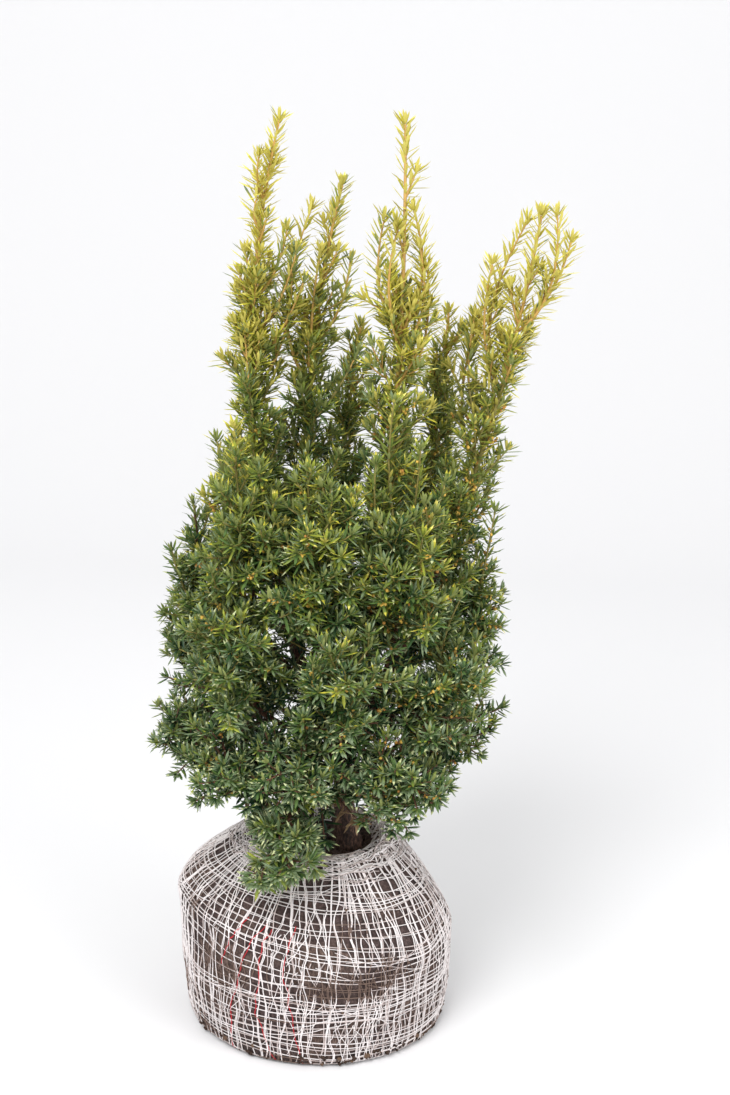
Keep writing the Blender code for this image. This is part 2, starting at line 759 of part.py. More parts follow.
def main():
    clear_scene()
    soil = plain_material("netted_soil", (0.30, 0.26, 0.22), 0.95)
    bark = plain_material("bark", (0.16, 0.07, 0.04), 0.85)
    young_bark = plain_material("young_bark", (0.24, 0.11, 0.05), 0.8)
    golden = plain_material("golden_needles", (0.34, 0.33, 0.035), 0.55)
    green = plain_material("green_needles", (0.13, 0.19, 0.035), 0.55)
    dark = plain_material("dark_needles", (0.05, 0.12, 0.035), 0.55)
    needles = {LEADER: golden, SMALL_LEADER: golden, CROWN: green, LOW_CROWN: dark,
               DROOPING: dark}
    limbs, stems = grown_limbs()
    build_root_ball(soil)
    build_carrier("trunk", limbs["trunk"], bark)
    build_carrier("left_stem", limbs["left_stem"], bark)
    build_boughs(limbs, young_bark)
    for mass in MASSES:
        build_mass(mass, limbs, stems, needles[mass.growth])


main()
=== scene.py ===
"""Looks of the english yew: bark, needles, male buds, soil and netting, round the fixed frame.

Metres, +Z up. The front of the plant faces -Y.
"""
import math
import random
from collections import namedtuple

import bpy
import numpy as np
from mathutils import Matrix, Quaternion, Vector
from mathutils.kdtree import KDTree


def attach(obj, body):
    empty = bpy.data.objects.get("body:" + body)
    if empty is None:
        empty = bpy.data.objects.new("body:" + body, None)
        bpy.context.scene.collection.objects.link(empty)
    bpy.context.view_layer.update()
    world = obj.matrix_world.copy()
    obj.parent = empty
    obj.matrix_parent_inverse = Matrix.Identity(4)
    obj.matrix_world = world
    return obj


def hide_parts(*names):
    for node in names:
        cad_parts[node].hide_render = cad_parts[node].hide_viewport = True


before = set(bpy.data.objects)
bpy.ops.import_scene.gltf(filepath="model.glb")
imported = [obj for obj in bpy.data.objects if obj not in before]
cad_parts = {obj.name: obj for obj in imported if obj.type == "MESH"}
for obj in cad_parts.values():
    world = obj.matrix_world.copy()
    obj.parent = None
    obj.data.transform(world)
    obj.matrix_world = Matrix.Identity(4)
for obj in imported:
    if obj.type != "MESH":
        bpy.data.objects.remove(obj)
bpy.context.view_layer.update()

# Growth rule, as the solids follow it: trunk, left stem and boughs
SOIL_LEVEL = 0.150
GAP = 0.0003
TRUNK_FOOT = (0.026, 0.002, SOIL_LEVEL + GAP)
TRUNK_WAY = (0.021, -0.001, 0.200)
TRUNK_FORK = (0.023, 0.000, 0.262)
TRUNK_RADIUS = 0.0092
FORK_RADIUS = 0.0068
LEFT_FOOT = (-0.036, 0.018, SOIL_LEVEL + GAP)
LEFT_WAY = (-0.054, 0.014, 0.186)
LEFT_FORK = (-0.078, 0.006, 0.228)
LEFT_RADIUS = 0.0062
LEFT_FORK_RADIUS = 0.0048
FLARE_HEIGHT = 0.016
FLARE_SPREAD = 0.55
BOUGH_RADIUS = 0.0052
BOUGH_TIP_RADIUS = 0.0030
STEM_TIP_RADIUS = 0.0010
FINE_STEPS = 60
ROOM_MARGIN = 0.0015
LIMB_CLEARANCE = 0.0020
BALL_CLEARANCE = 0.0055
GOLDEN_ANGLE = math.radians(137.508)
UP = Vector((0.0, 0.0, 1.0))

# How one kind of mass grows. Its side sprays are long at the foot of the mass and short near
# its tip, and lean away from the stem by spread, in degrees. The stem carries needles itself
# from the share bare on. Girth is a share of the full bough radius.
Growth = namedtuple("Growth", "sprays long short spread bare girth")
LEADER = Growth(8, 0.056, 0.016, 36, 0.30, 1.0)
SMALL_LEADER = Growth(6, 0.046, 0.020, 38, 0.34, 0.75)
CROWN = Growth(5, 0.054, 0.032, 54, 0.36, 0.65)
LOW_CROWN = Growth(5, 0.052, 0.032, 58, 0.36, 0.60)
DROOPING = Growth(6, 0.038, 0.024, 48, 0.30, 0.60)

# One bough with its mass of foliage. The bough leaves its carrier at the height root, the
# foliage begins at the place start, and the stem inside it runs on to the place tip.
Mass = namedtuple("Mass", "name growth carrier root start tip")
FIRST_SEED = 11
MASSES = (
    Mass("left_leader", LEADER, "trunk", 0.226,
         (-0.040, 0.006, 0.385), (-0.046, 0.002, 0.752)),
    Mass("middle_leader", LEADER, "trunk", 0.259,
         (-0.006, 0.012, 0.370), (0.004, 0.028, 0.703)),
    Mass("tall_leader", LEADER, "trunk", 0.243,
         (0.037, -0.028, 0.350), (0.051, -0.048, 0.753)),
    Mass("right_leader", LEADER, "trunk", 0.234,
         (0.082, -0.008, 0.372), (0.160, -0.010, 0.687)),
    Mass("small_leader", SMALL_LEADER, "right_leader", 0.300,
         (0.074, 0.036, 0.400), (0.094, 0.050, 0.602)),
    Mass("back_leader", SMALL_LEADER, "trunk", 0.250,
         (0.010, 0.060, 0.390), (0.022, 0.076, 0.585)),
    Mass("left_side_leader", SMALL_LEADER, "left_stem", 0.224,
         (-0.092, 0.004, 0.310), (-0.108, -0.006, 0.446)),
    Mass("front_crown", CROWN, "trunk", 0.236,
         (0.003, -0.059, 0.350), (-0.004, -0.092, 0.446)),
    Mass("front_left_crown", CROWN, "left_leader", 0.290,
         (-0.046, -0.042, 0.350), (-0.058, -0.072, 0.446)),
    Mass("front_right_crown", CROWN, "right_leader", 0.262,
         (0.056, -0.056, 0.345), (0.064, -0.084, 0.440)),
    Mass("back_right_crown", CROWN, "back_leader", 0.300,
         (0.056, 0.082, 0.370), (0.072, 0.098, 0.456)),
    Mass("back_left_crown", CROWN, "left_leader", 0.280,
         (-0.046, 0.062, 0.360), (-0.062, 0.084, 0.460)),
    Mass("mid_front", CROWN, "trunk", 0.222,
         (0.010, -0.072, 0.270), (0.022, -0.108, 0.344)),
    Mass("mid_front_right", CROWN, "trunk", 0.214,
         (0.068, -0.056, 0.268), (0.102, -0.076, 0.330)),
    Mass("mid_right", CROWN, "right_leader", 0.254,
         (0.104, 0.012, 0.308), (0.128, 0.014, 0.390)),
    Mass("mid_back_right", CROWN, "trunk", 0.232,
         (0.064, 0.068, 0.280), (0.084, 0.094, 0.350)),
    Mass("mid_back", CROWN, "back_leader", 0.272,
         (-0.008, 0.088, 0.300), (-0.016, 0.112, 0.362)),
    Mass("mid_left", CROWN, "left_stem", 0.218,
         (-0.094, 0.034, 0.272), (-0.114, 0.044, 0.336)),
    Mass("mid_front_left", CROWN, "left_leader", 0.252,
         (-0.052, -0.058, 0.294), (-0.072, -0.090, 0.364)),
    Mass("low_front", DROOPING, "trunk", 0.190,
         (-0.012, -0.062, 0.216), (-0.032, -0.106, 0.182)),
    Mass("low_middle", LOW_CROWN, "trunk", 0.183,
         (-0.006, -0.058, 0.234), (-0.012, -0.104, 0.264)),
    Mass("low_front_left", LOW_CROWN, "left_stem", 0.198,
         (-0.060, -0.046, 0.224), (-0.074, -0.084, 0.254)),
    Mass("low_left", LOW_CROWN, "left_stem", 0.209,
         (-0.096, 0.004, 0.228), (-0.116, -0.006, 0.258)),
    Mass("low_back_left", LOW_CROWN, "left_stem", 0.188,
         (-0.062, 0.060, 0.222), (-0.076, 0.094, 0.262)),
    Mass("low_back", LOW_CROWN, "trunk", 0.202,
         (0.018, 0.068, 0.222), (0.012, 0.108, 0.256)),
    Mass("low_back_right", LOW_CROWN, "trunk", 0.209,
         (0.074, 0.050, 0.222), (0.098, 0.072, 0.258)),
    Mass("low_right", LOW_CROWN, "trunk", 0.198,
         (0.086, -0.012, 0.230), (0.111, -0.020, 0.271)),
    Mass("low_front_right", LOW_CROWN, "trunk", 0.204,
         (0.054, -0.066, 0.224), (0.068, -0.100, 0.256)),
)

# Tall side shoots of each mass: the share of its stem where one grows, and where it ends
TWIN_RISE = 0.45
TWINS = {
    "middle_leader": (
        (0.52, (-0.020, 0.026, 0.684)),
    ),
    "right_leader": (
        (0.56, (0.150, -0.004, 0.682)),
        (0.74, (0.184, -0.012, 0.668)),
        (0.36, (0.122, -0.002, 0.622)),
        (0.06, (0.134, 0.006, 0.480)),
    ),
    "tall_leader": (
        (0.62, (0.038, -0.056, 0.684)),
        (0.58, (0.066, -0.056, 0.662)),
    ),
    "left_leader": (
        (0.30, (-0.070, -0.006, 0.594)),
        (0.42, (-0.034, 0.004, 0.650)),
        (0.06, (-0.090, -0.008, 0.500)),
    ),
    "left_side_leader": (
        (0.30, (-0.124, -0.020, 0.410)),
    ),
}

# Shorter side shoots near the tops, which the solids leave out
TOP_SHOOTS = {
    "left_leader": (
        (0.84, (-0.061, -0.002, 0.724)),
        (0.76, (-0.062, 0.002, 0.694)),
        (0.62, (-0.038, 0.000, 0.668)),
        (0.54, (-0.030, -0.004, 0.652)),
        (0.46, (-0.024, -0.002, 0.628)),
    ),
    "middle_leader": (
        (0.60, (-0.012, 0.020, 0.650)),
        (0.62, (0.012, 0.024, 0.644)),
        (0.42, (0.020, 0.022, 0.570)),
    ),
    "tall_leader": (
        (0.64, (0.060, -0.054, 0.690)),
        (0.62, (0.048, -0.062, 0.676)),
        (0.50, (0.072, -0.050, 0.646)),
    ),
    "right_leader": (
        (0.72, (0.172, -0.014, 0.688)),
        (0.56, (0.124, -0.008, 0.648)),
        (0.44, (0.112, -0.006, 0.606)),
    ),
}

# Upright shoots of the upper crown, which rise in front of the leaders
RISING_SHOOTS = {
    "front_crown": (
        (0.80, (-0.014, -0.086, 0.494)),
        (0.50, (0.020, -0.090, 0.476)),
        (0.90, (0.004, -0.090, 0.482)),
    ),
    "front_left_crown": (
        (0.80, (-0.072, -0.060, 0.520)),
        (0.60, (-0.052, -0.070, 0.494)),
        (0.40, (-0.088, -0.058, 0.474)),
    ),
    "front_right_crown": (
        (0.85, (0.050, -0.080, 0.548)),
        (0.70, (0.072, -0.078, 0.512)),
        (0.50, (0.038, -0.084, 0.500)),
        (0.40, (0.092, -0.064, 0.484)),
    ),
    "mid_right": (
        (0.80, (0.136, -0.012, 0.450)),
    ),
    "mid_front_right": (
        (0.80, (0.108, -0.070, 0.392)),
    ),
}

# Finer shoots, which the solids leave out. Spacing is along the line that carries them, and
# begin and end are the shares of that line between which they grow.
Finer = namedtuple("Finer", "spacing long short spread lift begin end")
LEADER_FILL = Finer(0.0115, 0.052, 0.022, 34, 0.45, 0.0, 0.66)
CROWN_FILL = Finer(0.0058, 0.052, 0.034, 60, 0.20, 0.0, 0.95)
LOW_FILL = Finer(0.0044, 0.050, 0.034, 66, 0.00, 0.0, 0.95)
LEADER_STEM_FINE = Finer(0.0110, 0.028, 0.014, 40, 0.40, 0.0, 0.66)
LEADER_TOP_FINE = Finer(0.0240, 0.020, 0.012, 38, 0.45, 0.66, 0.90)
CROWN_STEM_FINE = Finer(0.0075, 0.030, 0.018, 52, 0.35, 0.0, 1.0)
LEADER_SPRAY_FINE = Finer(0.0150, 0.022, 0.013, 38, 0.40, 0.10, 0.80)
CROWN_SPRAY_FINE = Finer(0.0100, 0.028, 0.017, 48, 0.35, 0.15, 0.95)
RISING_FINE = Finer(0.0110, 0.026, 0.013, 44, 0.45, 0.30, 0.92)
DROOPING_FILL = Finer(0.0068, 0.032, 0.024, 60, -0.05, 0.0, 0.95)
DROOPING_FINE = Finer(0.0150, 0.024, 0.016, 52, 0.10, 0.25, 0.95)
BOUGH_FINE = Finer(0.0049, 0.054, 0.036, 74, 0.10, 0.20, 1.0)
CARRIER_FINE = Finer(0.0015, 0.064, 0.040, 78, 0.15, 0.50, 1.0)
BUSHY_CARRIERS = {"mid_front": "trunk", "mid_left": "left_stem"}
FINER_SEED = 400
TOP_BARE_LEVEL = 0.62

# What is kept of a shoot that was cut off: its shortest length, the steps of its line, its
# radius at the root, and the share of it from which needles grow
Cut = namedtuple("Cut", "shortest steps root_radius leafy_from")
SIDE_SHOOT = Cut(0.013, 24, 0.0014, 0.06)
FINE_SHOOT = Cut(0.007, 12, 0.0009, 0.10)
SHOOT_TIP_RADIUS = 0.0006

# Outline of the whole plant, seen from the front: how far left and right shoots reach at
# some heights, how far left the drooping spray reaches, and how low the others hang
OUTLINE_LEVELS = (0.18, 0.21, 0.24, 0.29, 0.36, 0.45, 0.52, 0.60, 0.76)
OUTLINE_LEFT = (-0.060, -0.098, -0.126, -0.135, -0.130, -0.115, -0.094, -0.082, -0.074)
OUTLINE_RIGHT = (0.086, 0.100, 0.117, 0.140, 0.145, 0.134, 0.132, 0.156, 0.195)
OUTLINE_PLAY = 0.014
DROOPING_LEVELS = (0.150, 0.165, 0.182, 0.215)
DROOPING_LEFT = (-0.086, -0.080, -0.052, -0.044)
HEM_SIDES = (-0.120, -0.090, -0.065, -0.045, 0.030)
HEM_LEVELS = (0.212, 0.216, 0.228, 0.214, 0.203)

# Needles: sizes at the foot and at the top of the plant
LOW_LEVEL = 0.20
TOP_LEVEL = 0.62
LOW_NEEDLE = 0.0126
TOP_NEEDLE = 0.0174
DROOPING_NEEDLE = 1.36
DROOPING_TONE = 0.55
NEEDLE_WIDTH = 0.0022
NEEDLE_RIB = 0.17
LOW_PITCH = 0.00125
TOP_PITCH = 0.00138
SPARSE_PITCH = 0.0027
TUFT_NEEDLES = 9
DROOPING_TUFT = 18
NEEDLE_SEED = 900

# Root ball. Its side widens from the flat foot to a shoulder, which lies higher on the left
# than on the right, and its top slopes in from there to the gathered rim.
RIM_HEIGHT = 0.162
RIM_RADIUS = 0.062
RIM_ROLL = 0.002
MOUTH_RADIUS = 0.052
WIDEST_RADIUS = 0.1165
SHOULDER_HEIGHT = 0.098
SHOULDER_TILT = 0.018
FOOT_RADIUS = 0.108
FOOT_LEAN = 0.0035
FOOT_ROUNDING = 0.006
SIDE_FULLNESS = 2.4
TOP_FULLNESS = 1.5
BALL_LUMP = 0.0011
SWELLS = ((1.0, 3.0, 0.7, 14.0), (0.7, 5.0, 2.1, -30.0),
          (0.7, 9.0, 1.3, 70.0), (0.6, 12.0, 0.4, -110.0))
BALL_SIDES = 120
SIDE_RINGS = (0.0, 0.05, 0.16, 0.32, 0.50, 0.68, 0.84, 0.95)
TOP_RINGS = (0.05, 0.16, 0.32, 0.48, 0.64, 0.80, 0.92, 1.0)

# Netting. Its threads are placed by the angle round the ball and the share of the way down
# it, from 0 at the rim over the shoulder to 1 at the foot.
THREAD_RADIUS = 0.00053
NET_SEED = 77
SHOULDER_SHARE = 0.45
WARP_THREADS = 132
WEFT_THREADS = 27
SLANTING_THREADS = 165
RIM_THREADS = 170
TUCK_SHARE = 0.08
TUCK_WIDTH = 0.017
TUCK_DROP = 0.008

# Camera: the photograph's size in pixels, its focal length in them, and its viewpoint
PHOTO_HEIGHT = 1095
PHOTO_FOCAL = 1763.0
SENSOR = 36.0
CAMERA_PLACE = (0.032, -1.401, 0.776)
CAMERA_PITCH = math.radians(14.5)
CAMERA_ROLL = math.radians(2.0)


# Curves and lines of places

def curve_control(first, middle, last):
    """Control place of the quadratic curve from first to last that passes through middle."""
    near = (middle - first).length
    share = near / (near + (last - middle).length)
    rest = 1.0 - share
    control = (middle - first * rest ** 2 - last * share ** 2) / (2.0 * share * rest)
    return control, share


def curve_places(first, control, last, begin, end, steps):
    """Places on a quadratic curve, between two shares of it."""
    places = []
    for step in range(steps + 1):
        share = begin + (end - begin) * step / steps
        rest = 1.0 - share
        place = first * rest ** 2 + control * (2.0 * share * rest) + last * share ** 2
        places.append(place)
    return places


def run_lengths(places):
    """Distance along a line of places, from its first one."""
    lengths = [0.0]
    for near, far in zip(places, places[1:]):
        lengths.append(lengths[-1] + (far - near).length)
    return lengths


def even_places(places, count):
    """The same line with count + 1 places at equal distances."""
    lengths = run_lengths(places)
    even = []
    index = 0
    for step in range(count + 1):
        target = lengths[-1] * step / count
        while index < len(lengths) - 2 and lengths[index + 1] < target:
            index += 1
        span = lengths[index + 1] - lengths[index]
        even.append(places[index].lerp(places[index + 1], (target - lengths[index]) / span))
    return even


def line_frames(places):
    """Direction and two side vectors at each place, carried along without a jump."""
    frames = []
    side = None
    for index in range(len(places)):
        before = places[max(index - 1, 0)]
        after = places[min(index + 1, len(places) - 1)]
        direction = (after - before).normalized()
        if side is None:
            side = direction.orthogonal().normalized()
        side = (side - direction * side.dot(direction)).normalized()
        frames.append((direction, side, direction.cross(side)))
    return frames


def tapered(places, root_radius, tip_radius):
    """Radius at each place of a limb that tapers evenly."""
    lengths = run_lengths(places)
    return [root_radius + (tip_radius - root_radius) * run / lengths[-1] for run in lengths]


def flared(places, foot_radius, fork_radius):
    """Even taper with a root flare just above the soil."""
    radii = []
    for run, radius in zip(run_lengths(places), tapered(places, foot_radius, fork_radius)):
        radii.append(radius * (1.0 + FLARE_SPREAD * math.exp(-run / FLARE_HEIGHT)))
    return radii


def by_level(low, top, height):
    """A size that goes from its low to its top value between the two levels."""
    return float(np.interp(height, (LOW_LEVEL, TOP_LEVEL), (low, top)))


# Limbs and the stems that carry the foliage

Limb = namedtuple("Limb", "places radii")


def carrier_limb(foot, way, fork, foot_radius, fork_radius):
    control, _ = curve_control(Vector(foot), Vector(way), Vector(fork))
    places = curve_places(Vector(foot), control, Vector(fork), 0.0, 1.0, FINE_STEPS)
    return Limb(places, flared(places, foot_radius, fork_radius))


def grown_limbs():
    """Every limb by name, and the stem that carries each mass of foliage."""
    limbs = {
        "trunk": carrier_limb(TRUNK_FOOT, TRUNK_WAY, TRUNK_FORK, TRUNK_RADIUS, FORK_RADIUS),
        "left_stem": carrier_limb(LEFT_FOOT, LEFT_WAY, LEFT_FORK, LEFT_RADIUS,
                                  LEFT_FORK_RADIUS),
    }
    stems = {}
    for mass in MASSES:
        carrier = limbs[mass.carrier].places
        root = min(carrier, key=lambda place: abs(place.z - mass.root))
        control, share = curve_control(root, Vector(mass.start), Vector(mass.tip))
        places = curve_places(root, control, Vector(mass.tip), 0.0, share, FINE_STEPS)
        girth = mass.growth.girth
        limbs[mass.name] = Limb(places, tapered(places, BOUGH_RADIUS * girth,
                                                BOUGH_TIP_RADIUS * girth))
        inner = curve_places(root, control, Vector(mass.tip), share, 1.0, FINE_STEPS)
        inner[0] = inner[0] + (inner[1] - inner[0]).normalized() * GAP
        stems[mass.name] = even_places(inner, FINE_STEPS)
    return limbs, stems


def side_line(stem, frames, share, angle, tilt, length, lift):
    """One side shoot that leaves the stem at a tilt and bends upwards by lift."""
    spot = round(share * (len(stem) - 1))
    forward, side, across = frames[spot]
    outward = side * math.cos(angle) + across * math.sin(angle)
    direction = outward * math.sin(tilt) + forward * math.cos(tilt)
    control = stem[spot] + direction * length * 0.5
    tip = control + (direction + UP * lift).normalized() * length * 0.5
    return curve_places(stem[spot], control, tip, 0.0, 1.0, FINE_STEPS)


def side_lines(stem, growth, dice):
    """Lines of the side sprays that the solids have too, by the golden-angle rule."""
    frames = line_frames(stem)
    phase = dice.uniform(0.0, 2.0 * math.pi)
    lines = []
    for index in range(growth.sprays):
        share = 0.06 + 0.84 * (index + dice.uniform(0.2, 0.8)) / growth.sprays
        angle = phase + GOLDEN_ANGLE * index + dice.uniform(-0.3, 0.3)
        tilt = math.radians(growth.spread) * (1.15 - 0.45 * share) * dice.uniform(0.88, 1.12)
        length = growth.long + (growth.short - growth.long) * share
        length *= dice.uniform(0.85, 1.12)
        lift = 0.55 if share < 0.5 else 0.35
        lines.append(side_line(stem, frames, share, angle, tilt, length, lift))
    return lines


def finer_lines(line, finer, dice):
    """Lines of finer shoots along a line, by the same rule."""
    frames = line_frames(line)
    span = finer.end - finer.begin
    count = max(1, round(run_lengths(line)[-1] * span / finer.spacing))
    phase = dice.uniform(0.0, 2.0 * math.pi)
    lines = []
    for index in range(count):
        share = finer.begin + span * (index + dice.uniform(0.2, 0.8)) / count
        angle = phase + GOLDEN_ANGLE * index + dice.uniform(-0.4, 0.4)
        tilt = math.radians(finer.spread) * (1.15 - 0.45 * share) * dice.uniform(0.8, 1.15)
        length = finer.long + (finer.short - finer.long) * share
        length *= dice.uniform(0.75, 1.15)
        lift = finer.lift + dice.uniform(-0.25, 0.25)
        lines.append(side_line(line, frames, share, angle, tilt, length, lift))
    return lines


def twin_lines(stem, twins):
    """Lines of tall side shoots, from their shares of the stem and their ends."""
    frames = line_frames(stem)
    lines = []
    for share, tip in twins:
        spot = round(share * FINE_STEPS)
        forward = frames[spot][0]
        aim = Vector(tip) - stem[spot]
        outward = (aim - forward * aim.dot(forward)).normalized()
        control = stem[spot] + (outward + forward).normalized() * aim.length * TWIN_RISE
        lines.append(curve_places(stem[spot], control, Vector(tip), 0.0, 1.0, FINE_STEPS))
    return lines


# Shape of the root ball

def shoulder_at(angle):
    """Height of the ball's shoulder on one side of it."""
    return SHOULDER_HEIGHT - SHOULDER_TILT * math.cos(angle)


def ball_radius_at(angle, height):
    """Radius of the netted ball at a height, without its lumps."""
    shoulder = shoulder_at(angle)
    if height < shoulder:
        foot = FOOT_RADIUS + FOOT_LEAN * math.cos(angle)
        share = (1.0 - max(height, 0.0) / shoulder) ** SIDE_FULLNESS
        rounding = FOOT_ROUNDING * max(1.0 - height / FOOT_ROUNDING, 0.0) ** 2
        return WIDEST_RADIUS - (WIDEST_RADIUS - foot) * share - rounding
    share = min((height - shoulder) / (RIM_HEIGHT - RIM_ROLL - shoulder), 1.0)
    return RIM_RADIUS + (WIDEST_RADIUS - RIM_RADIUS) * (1.0 - share ** TOP_FULLNESS)


def ball_lump(angle, height):
    """Uneven swell of the soil inside the net, fading out at the foot and the rim."""
    fade = math.sin(math.pi * min(max(height, 0.0) / RIM_HEIGHT, 1.0))
    swell = 0.0
    for size, turns, start, climb in SWELLS:
        swell += size * math.sin(turns * angle + start + climb * height)
    return BALL_LUMP * fade * swell


def ball_place(angle, share, lift=0.0):
    """Place on the ball by angle and share of the way down, raised off it by lift.

    A share below 0 lies inside the rim, where the net's edge is tucked in.
    """
    if share < 0.0:
        inward = min(-share / TUCK_SHARE, 1.0)
        radius = RIM_RADIUS - TUCK_WIDTH * inward
        height = RIM_HEIGHT - RIM_ROLL + lift + 0.003 * math.sin(math.pi * inward)
        height -= TUCK_DROP * inward ** 2
        return radius * math.cos(angle), radius * math.sin(angle), height
    shoulder = shoulder_at(angle)
    if share < SHOULDER_SHARE:
        height = shoulder + (RIM_HEIGHT - RIM_ROLL - shoulder) * (1.0 - share / SHOULDER_SHARE)
    else:
        height = shoulder * (1.0 - share) / (1.0 - SHOULDER_SHARE)
    radius = ball_radius_at(angle, height) + ball_lump(angle, height)
    steepness = 0.0 if share < SHOULDER_SHARE * 0.9 else 1.0
    radius += lift * (0.6 + 0.4 * steepness)
    height += lift * 0.8 * (1.0 - steepness)
    return radius * math.cos(angle), radius * math.sin(angle), height


# Room of each mass

def tree_of(places):
    """Search tree for the nearest of some places."""
    tree = KDTree(len(places))
    for index, place in enumerate(places):
        tree.insert(place, index)
    tree.balance()
    return tree


class Room:
    """The space of one mass: nearer its own stem than any other, clear of limbs and ball."""

    def __init__(self, name, limbs, stems):
        self.drooping = name == "low_front"
        self.own = tree_of(stems[name])
        self.others = tree_of([place for key in stems if key != name
                               for place in stems[key][::2]])
        self.limbs = tree_of([place for limb in limbs.values() for place in limb.places])
        self.radii = [radius for limb in limbs.values() for radius in limb.radii]

    def allows(self, place, play, inner):
        """Whether a shoot may be here.

        Play shifts the outline, and inner shoots may be nearer to another mass.
        """
        if not self.drooping and place.z < np.interp(place.x, HEM_SIDES, HEM_LEVELS):
            return False
        if self.drooping and place.x < np.interp(place.z, DROOPING_LEVELS, DROOPING_LEFT):
            return False
        left = np.interp(place.z, OUTLINE_LEVELS, OUTLINE_LEFT) - play
        right = np.interp(place.z, OUTLINE_LEVELS, OUTLINE_RIGHT) + play
        if not left < place.x < right:
            return False
        if not inner and (self.own.find(place)[2] + ROOM_MARGIN
                          > self.others.find(place)[2]):
            return False
        _, index, distance = self.limbs.find(place)
        if distance - self.radii[index] < LIMB_CLEARANCE:
            return False
        if place.z > RIM_HEIGHT + BALL_CLEARANCE:
            return True
        ball = ball_radius_at(math.atan2(place.y, place.x), place.z)
        return math.hypot(place.x, place.y) > ball + BALL_CLEARANCE


def clear_part(places, room, play, inner):
    """The part of a side shoot, from its root on, that stays in its own room."""
    kept = 1
    while kept < len(places) and (kept < 8 or room.allows(places[kept], play, inner)):
        kept += 1
    return places[:kept]


# Shoots

Shoot = namedtuple("Shoot", "places root_radius tip_radius leafy_from mass kind")


class Grower:
    """Collects the shoots of one mass, each cut off where it would leave the mass's room."""

    def __init__(self, mass, limbs, stems):
        self.mass = mass
        self.room = Room(mass.name, limbs, stems)
        self.dice = random.Random(FINER_SEED + MASSES.index(mass))
        self.shoots = []

    def add(self, places, kind, cut):
        """Keeps a shoot if it is long enough, and says what was kept."""
        play = self.dice.uniform(-OUTLINE_PLAY, OUTLINE_PLAY)
        kept = places
        if kind != "twin":
            kept = clear_part(places, self.room, play, kind == "bough")
        if run_lengths(kept)[-1] < cut.shortest:
            return None
        kept = even_places(kept, cut.steps)
        self.shoots.append(Shoot(kept, cut.root_radius, SHOOT_TIP_RADIUS, cut.leafy_from,
                                 self.mass, kind))
        return kept

    def add_fine(self, line, finer, kind="fine"):
        for places in finer_lines(line, finer, self.dice):
            if kind != "fine" or places[0].z <= TOP_BARE_LEVEL:
                self.add(places, kind, FINE_SHOOT)

    def add_side_shoots(self, lines, kind, finer):
        """Adds twins or sprays, each with finer shoots of its own if any."""
        for places in lines:
            kept = self.add(places, kind, SIDE_SHOOT)
            if kept is not None and finer is not None:
                self.add_fine(kept, finer)


def mass_shoots(mass, limbs, stems):
    """Every shoot of one mass: its stem, side sprays, and the finer shoots on them."""
    stem = stems[mass.name]
    growth = mass.growth
    grower = Grower(mass, limbs, stems)
    grower.shoots.append(Shoot(stem, BOUGH_TIP_RADIUS * growth.girth, STEM_TIP_RADIUS,
                               growth.bare * 0.4, mass, "stem"))
    leader = growth in (LEADER, SMALL_LEADER)
    spray_fine = LEADER_SPRAY_FINE if leader else CROWN_SPRAY_FINE
    if growth is DROOPING:
        spray_fine = DROOPING_FINE
    fills = {CROWN: CROWN_FILL, LOW_CROWN: LOW_FILL, DROOPING: DROOPING_FILL}
    fill = fills.get(growth, LEADER_FILL)
    rule = random.Random(FIRST_SEED + MASSES.index(mass))
    grower.add_side_shoots(side_lines(stem, growth, rule), "spray", spray_fine)
    for table, finer in ((TWINS, spray_fine), (TOP_SHOOTS, None), (RISING_SHOOTS, RISING_FINE)):
        grower.add_side_shoots(twin_lines(stem, table.get(mass.name, ())), "twin", finer)
    grower.add_side_shoots(finer_lines(stem, fill, grower.dice), "spray", spray_fine)
    grower.add_fine(stem, LEADER_STEM_FINE if leader else CROWN_STEM_FINE)
    if leader and mass.name != "tall_leader":
        grower.add_fine(stem, LEADER_TOP_FINE, "top")
    grower.add_fine(limbs[mass.name].places, BOUGH_FINE, "bough")
    if mass.name in BUSHY_CARRIERS:
        carrier = limbs[BUSHY_CARRIERS[mass.name]]
        grower.add_fine(carrier.places, CARRIER_FINE, "bough")
    return grower.shoots


# Joined meshes from arrays

def array_object(name, places, corners, faces_material, materials, smooth=False):
    """One mesh from an array of places and one of triangles, with a material for each."""
    mesh = bpy.data.meshes.new(name)
    mesh.vertices.add(len(places))
    mesh.vertices.foreach_set("co", np.asarray(places, np.float32).ravel())
    mesh.loops.add(corners.size)
    mesh.loops.foreach_set("vertex_index", corners.astype(np.int32).ravel())
    mesh.polygons.add(len(corners))
    mesh.polygons.foreach_set("loop_start", np.arange(0, corners.size, 3, dtype=np.int32))
    mesh.polygons.foreach_set("material_index", faces_material.astype(np.int32))
    mesh.polygons.foreach_set("use_smooth", np.full(len(corners), smooth))
    for material in materials:
        mesh.materials.append(material)
    mesh.update(calc_edges=True)
    thing = bpy.data.objects.new(name, mesh)
    bpy.context.scene.collection.objects.link(thing)
    return thing


def unit(rows):
    return rows / np.maximum(np.linalg.norm(rows, axis=-1, keepdims=True), 1e-12)


